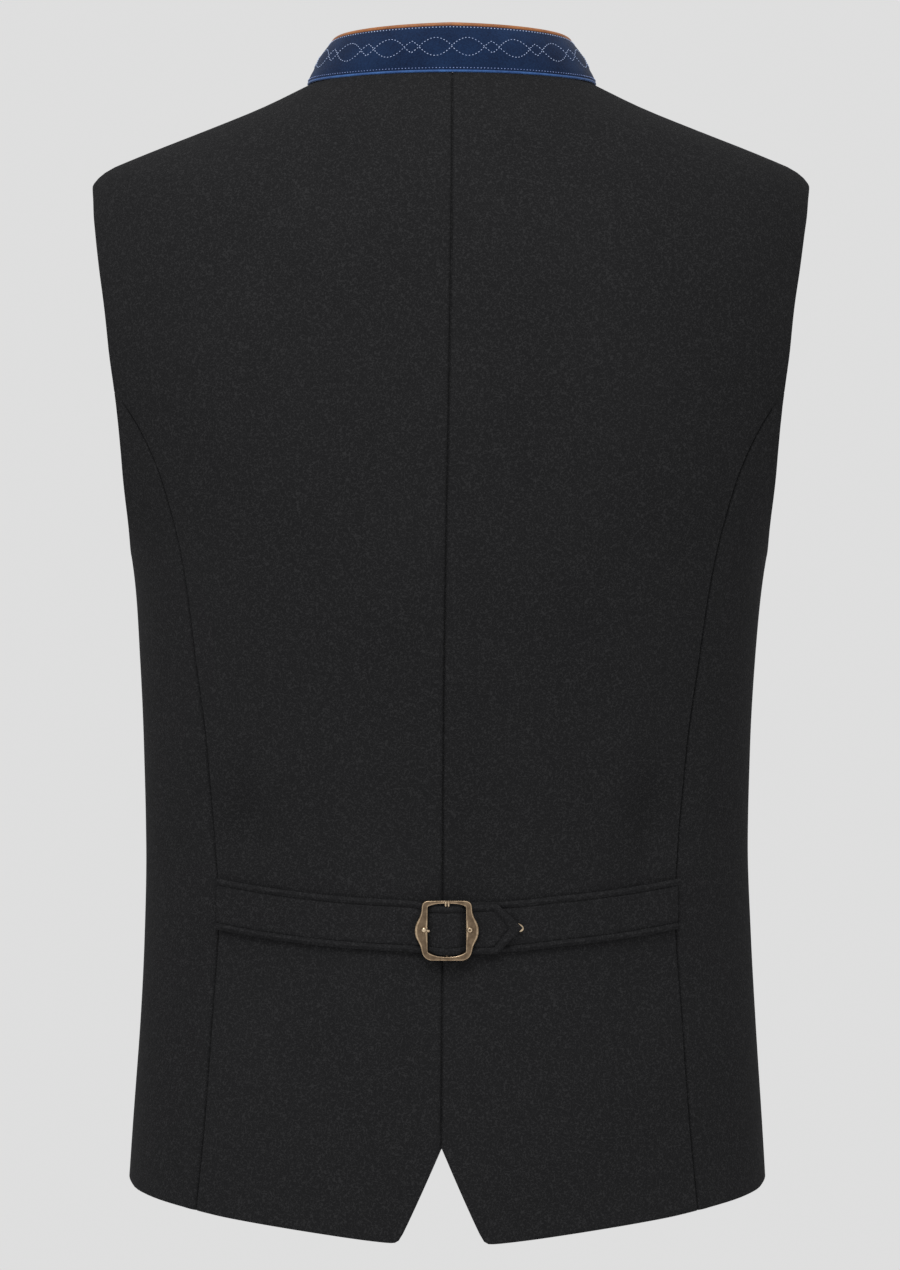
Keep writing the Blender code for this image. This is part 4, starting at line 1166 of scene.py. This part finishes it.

# The catch is in the bright brass too, with its painted highlight
catchOutline = [(-35.0, 1.0), (-37.4, 1.0), (-38.8, 0.6), (-40.0, -0.1), (-40.8, -0.9),
                (-41.3, -1.8), (-41.3, -2.6), (-40.9, -3.3), (-40.2, -3.8), (-39.2, -4.0),
                (-37.2, -3.9), (-35.0, -3.6)]
catchX = np.array(-38.0)
catchAt = beltPoint(catchX, 0.0, 2.95)[0]
catchTurn = turnOut(angleAt(catchX, beltHeight(catchX)), beltHeight(catchX))
bpy.ops.mesh.primitive_circle_add(vertices=len(catchOutline), radius=0.004, fill_type="NGON")
catch = activeAs("tip_catch_plate")
setPoints(catch, [(catchX - x, y, -0.35) for x, y in catchOutline])
catch.data.materials.append(brightHighlightBrass)
addModifier(catch, "SOLIDIFY", thickness=0.9 * mm, offset=1.0, use_even_offset=True)
addModifier(catch, "BEVEL", width=0.28 * mm, segments=3, limit_method="ANGLE")
facesOutward(catch)
smoothShade(catch)
moveInto(catch, catchTurn, catchAt)
settle(catch, "brass", "tip_catch")
print("buckle cast")


# Buttons down the front, and their buttonholes

button = {
    "heights": np.linspace(-72.0, -528.0, 7), "lift": 1.75,
    "profile": [(0.0, 0.0), (1.7, 0.0), (1.7, 2.0), (6.4, 2.3), (7.2, 2.8), (7.5, 3.5),
                (7.2, 4.2), (6.4, 4.6), (5.9, 4.35), (5.2, 4.7), (3.4, 5.5), (1.6, 5.9),
                (0.0, 6.0)],
    "holeStart": 6.5, "holeEnd": 17.0, "holeHalf": 0.9, "holeStitch": (0.9, 0.9, 0.8),
}
firstButton = turnedPiece("button_1_turned", button["profile"], 32, antiqueBrass)
buttons = [firstButton]
for number in range(2, 8):
    copy = firstButton.copy()
    copy.data = firstButton.data.copy()
    copy.name = "button_%d_turned" % number
    bpy.context.scene.collection.objects.link(copy)
    buttons.append(copy)
holes = []
for number, (piece, z) in enumerate(zip(buttons, button["heights"]), start=1):
    z = np.array(z)
    point, normal = bodyFrame(np.array(180.0), z)
    turn = Vector(normal).to_track_quat("Z", "Y").to_matrix()
    moveInto(piece, turn, point + normal * button["lift"])
    settle(piece, "brass", "button_%d" % number)
    across = np.linspace(button["holeStart"], button["holeEnd"], 12)
    x = np.concatenate([across, across[::-1]])
    heights = z + button["holeHalf"] * np.repeat([1.0, -1.0], 12)
    holeAngle = 180.0 - np.abs(angleAt(x, heights))
    holes.append((cloth(holeAngle, heights, panel["overlapLift"]),
                  bodyFrame(holeAngle, heights)[1]))
sewPiece("buttonhole_stitches", holes, button["holeStitch"], blackThread, "wool")
print("buttons sewn on")


# Floor, light and camera

studio = {
    "ground": -1000.0, "floorRadius": 2.2, "paper": "#f0f0f0", "sky": 0.735,
    "keyPower": 20.0, "keyPlace": (0.35, 1.2, 1.25), "keySize": 0.8,
    "lens": 126.55, "distance": 2.5, "eye": -0.283,
}
bpy.ops.mesh.primitive_circle_add(vertices=96, radius=studio["floorRadius"], fill_type="NGON",
                                  location=(0, 0, studio["ground"] * mm))
bpy.ops.object.transform_apply(location=True, rotation=True, scale=True)
floor = activeAs("paper_floor")
floor.data.materials.append(startMaterial("matt paper floor", {
    "Base Color": linearColour(studio["paper"]), "Roughness": 1.0,
    "Specular IOR Level": 0.0})[0])

world = bpy.data.worlds.new("studio")
bpy.context.scene.world = world
world.use_nodes = True
sky = world.node_tree.nodes["Background"]
sky.inputs["Color"].default_value = (1.0, 1.0, 1.0, 1.0)
sky.inputs["Strength"].default_value = studio["sky"]

bpy.ops.object.light_add(type="AREA", location=studio["keyPlace"])
light = bpy.context.object
light.name = "key_softbox"
light.data.energy = studio["keyPower"]
light.data.size = studio["keySize"]
aim = Vector((0, 0, -0.1)) - Vector(studio["keyPlace"])
light.rotation_euler = aim.to_track_quat("-Z", "Y").to_euler()

bpy.ops.object.camera_add(location=(0.0, studio["distance"], studio["eye"]),
                          rotation=(math.pi / 2, 0.0, math.pi))
camera = bpy.context.object
camera.data.sensor_fit = "VERTICAL"
camera.data.sensor_height = 36.0
camera.data.lens = studio["lens"]
bpy.context.scene.camera = camera
bpy.context.scene.view_settings.view_transform = "Standard"
bpy.context.scene.view_settings.look = "None"
bpy.ops.object.select_all(action="DESELECT")
print("studio set")
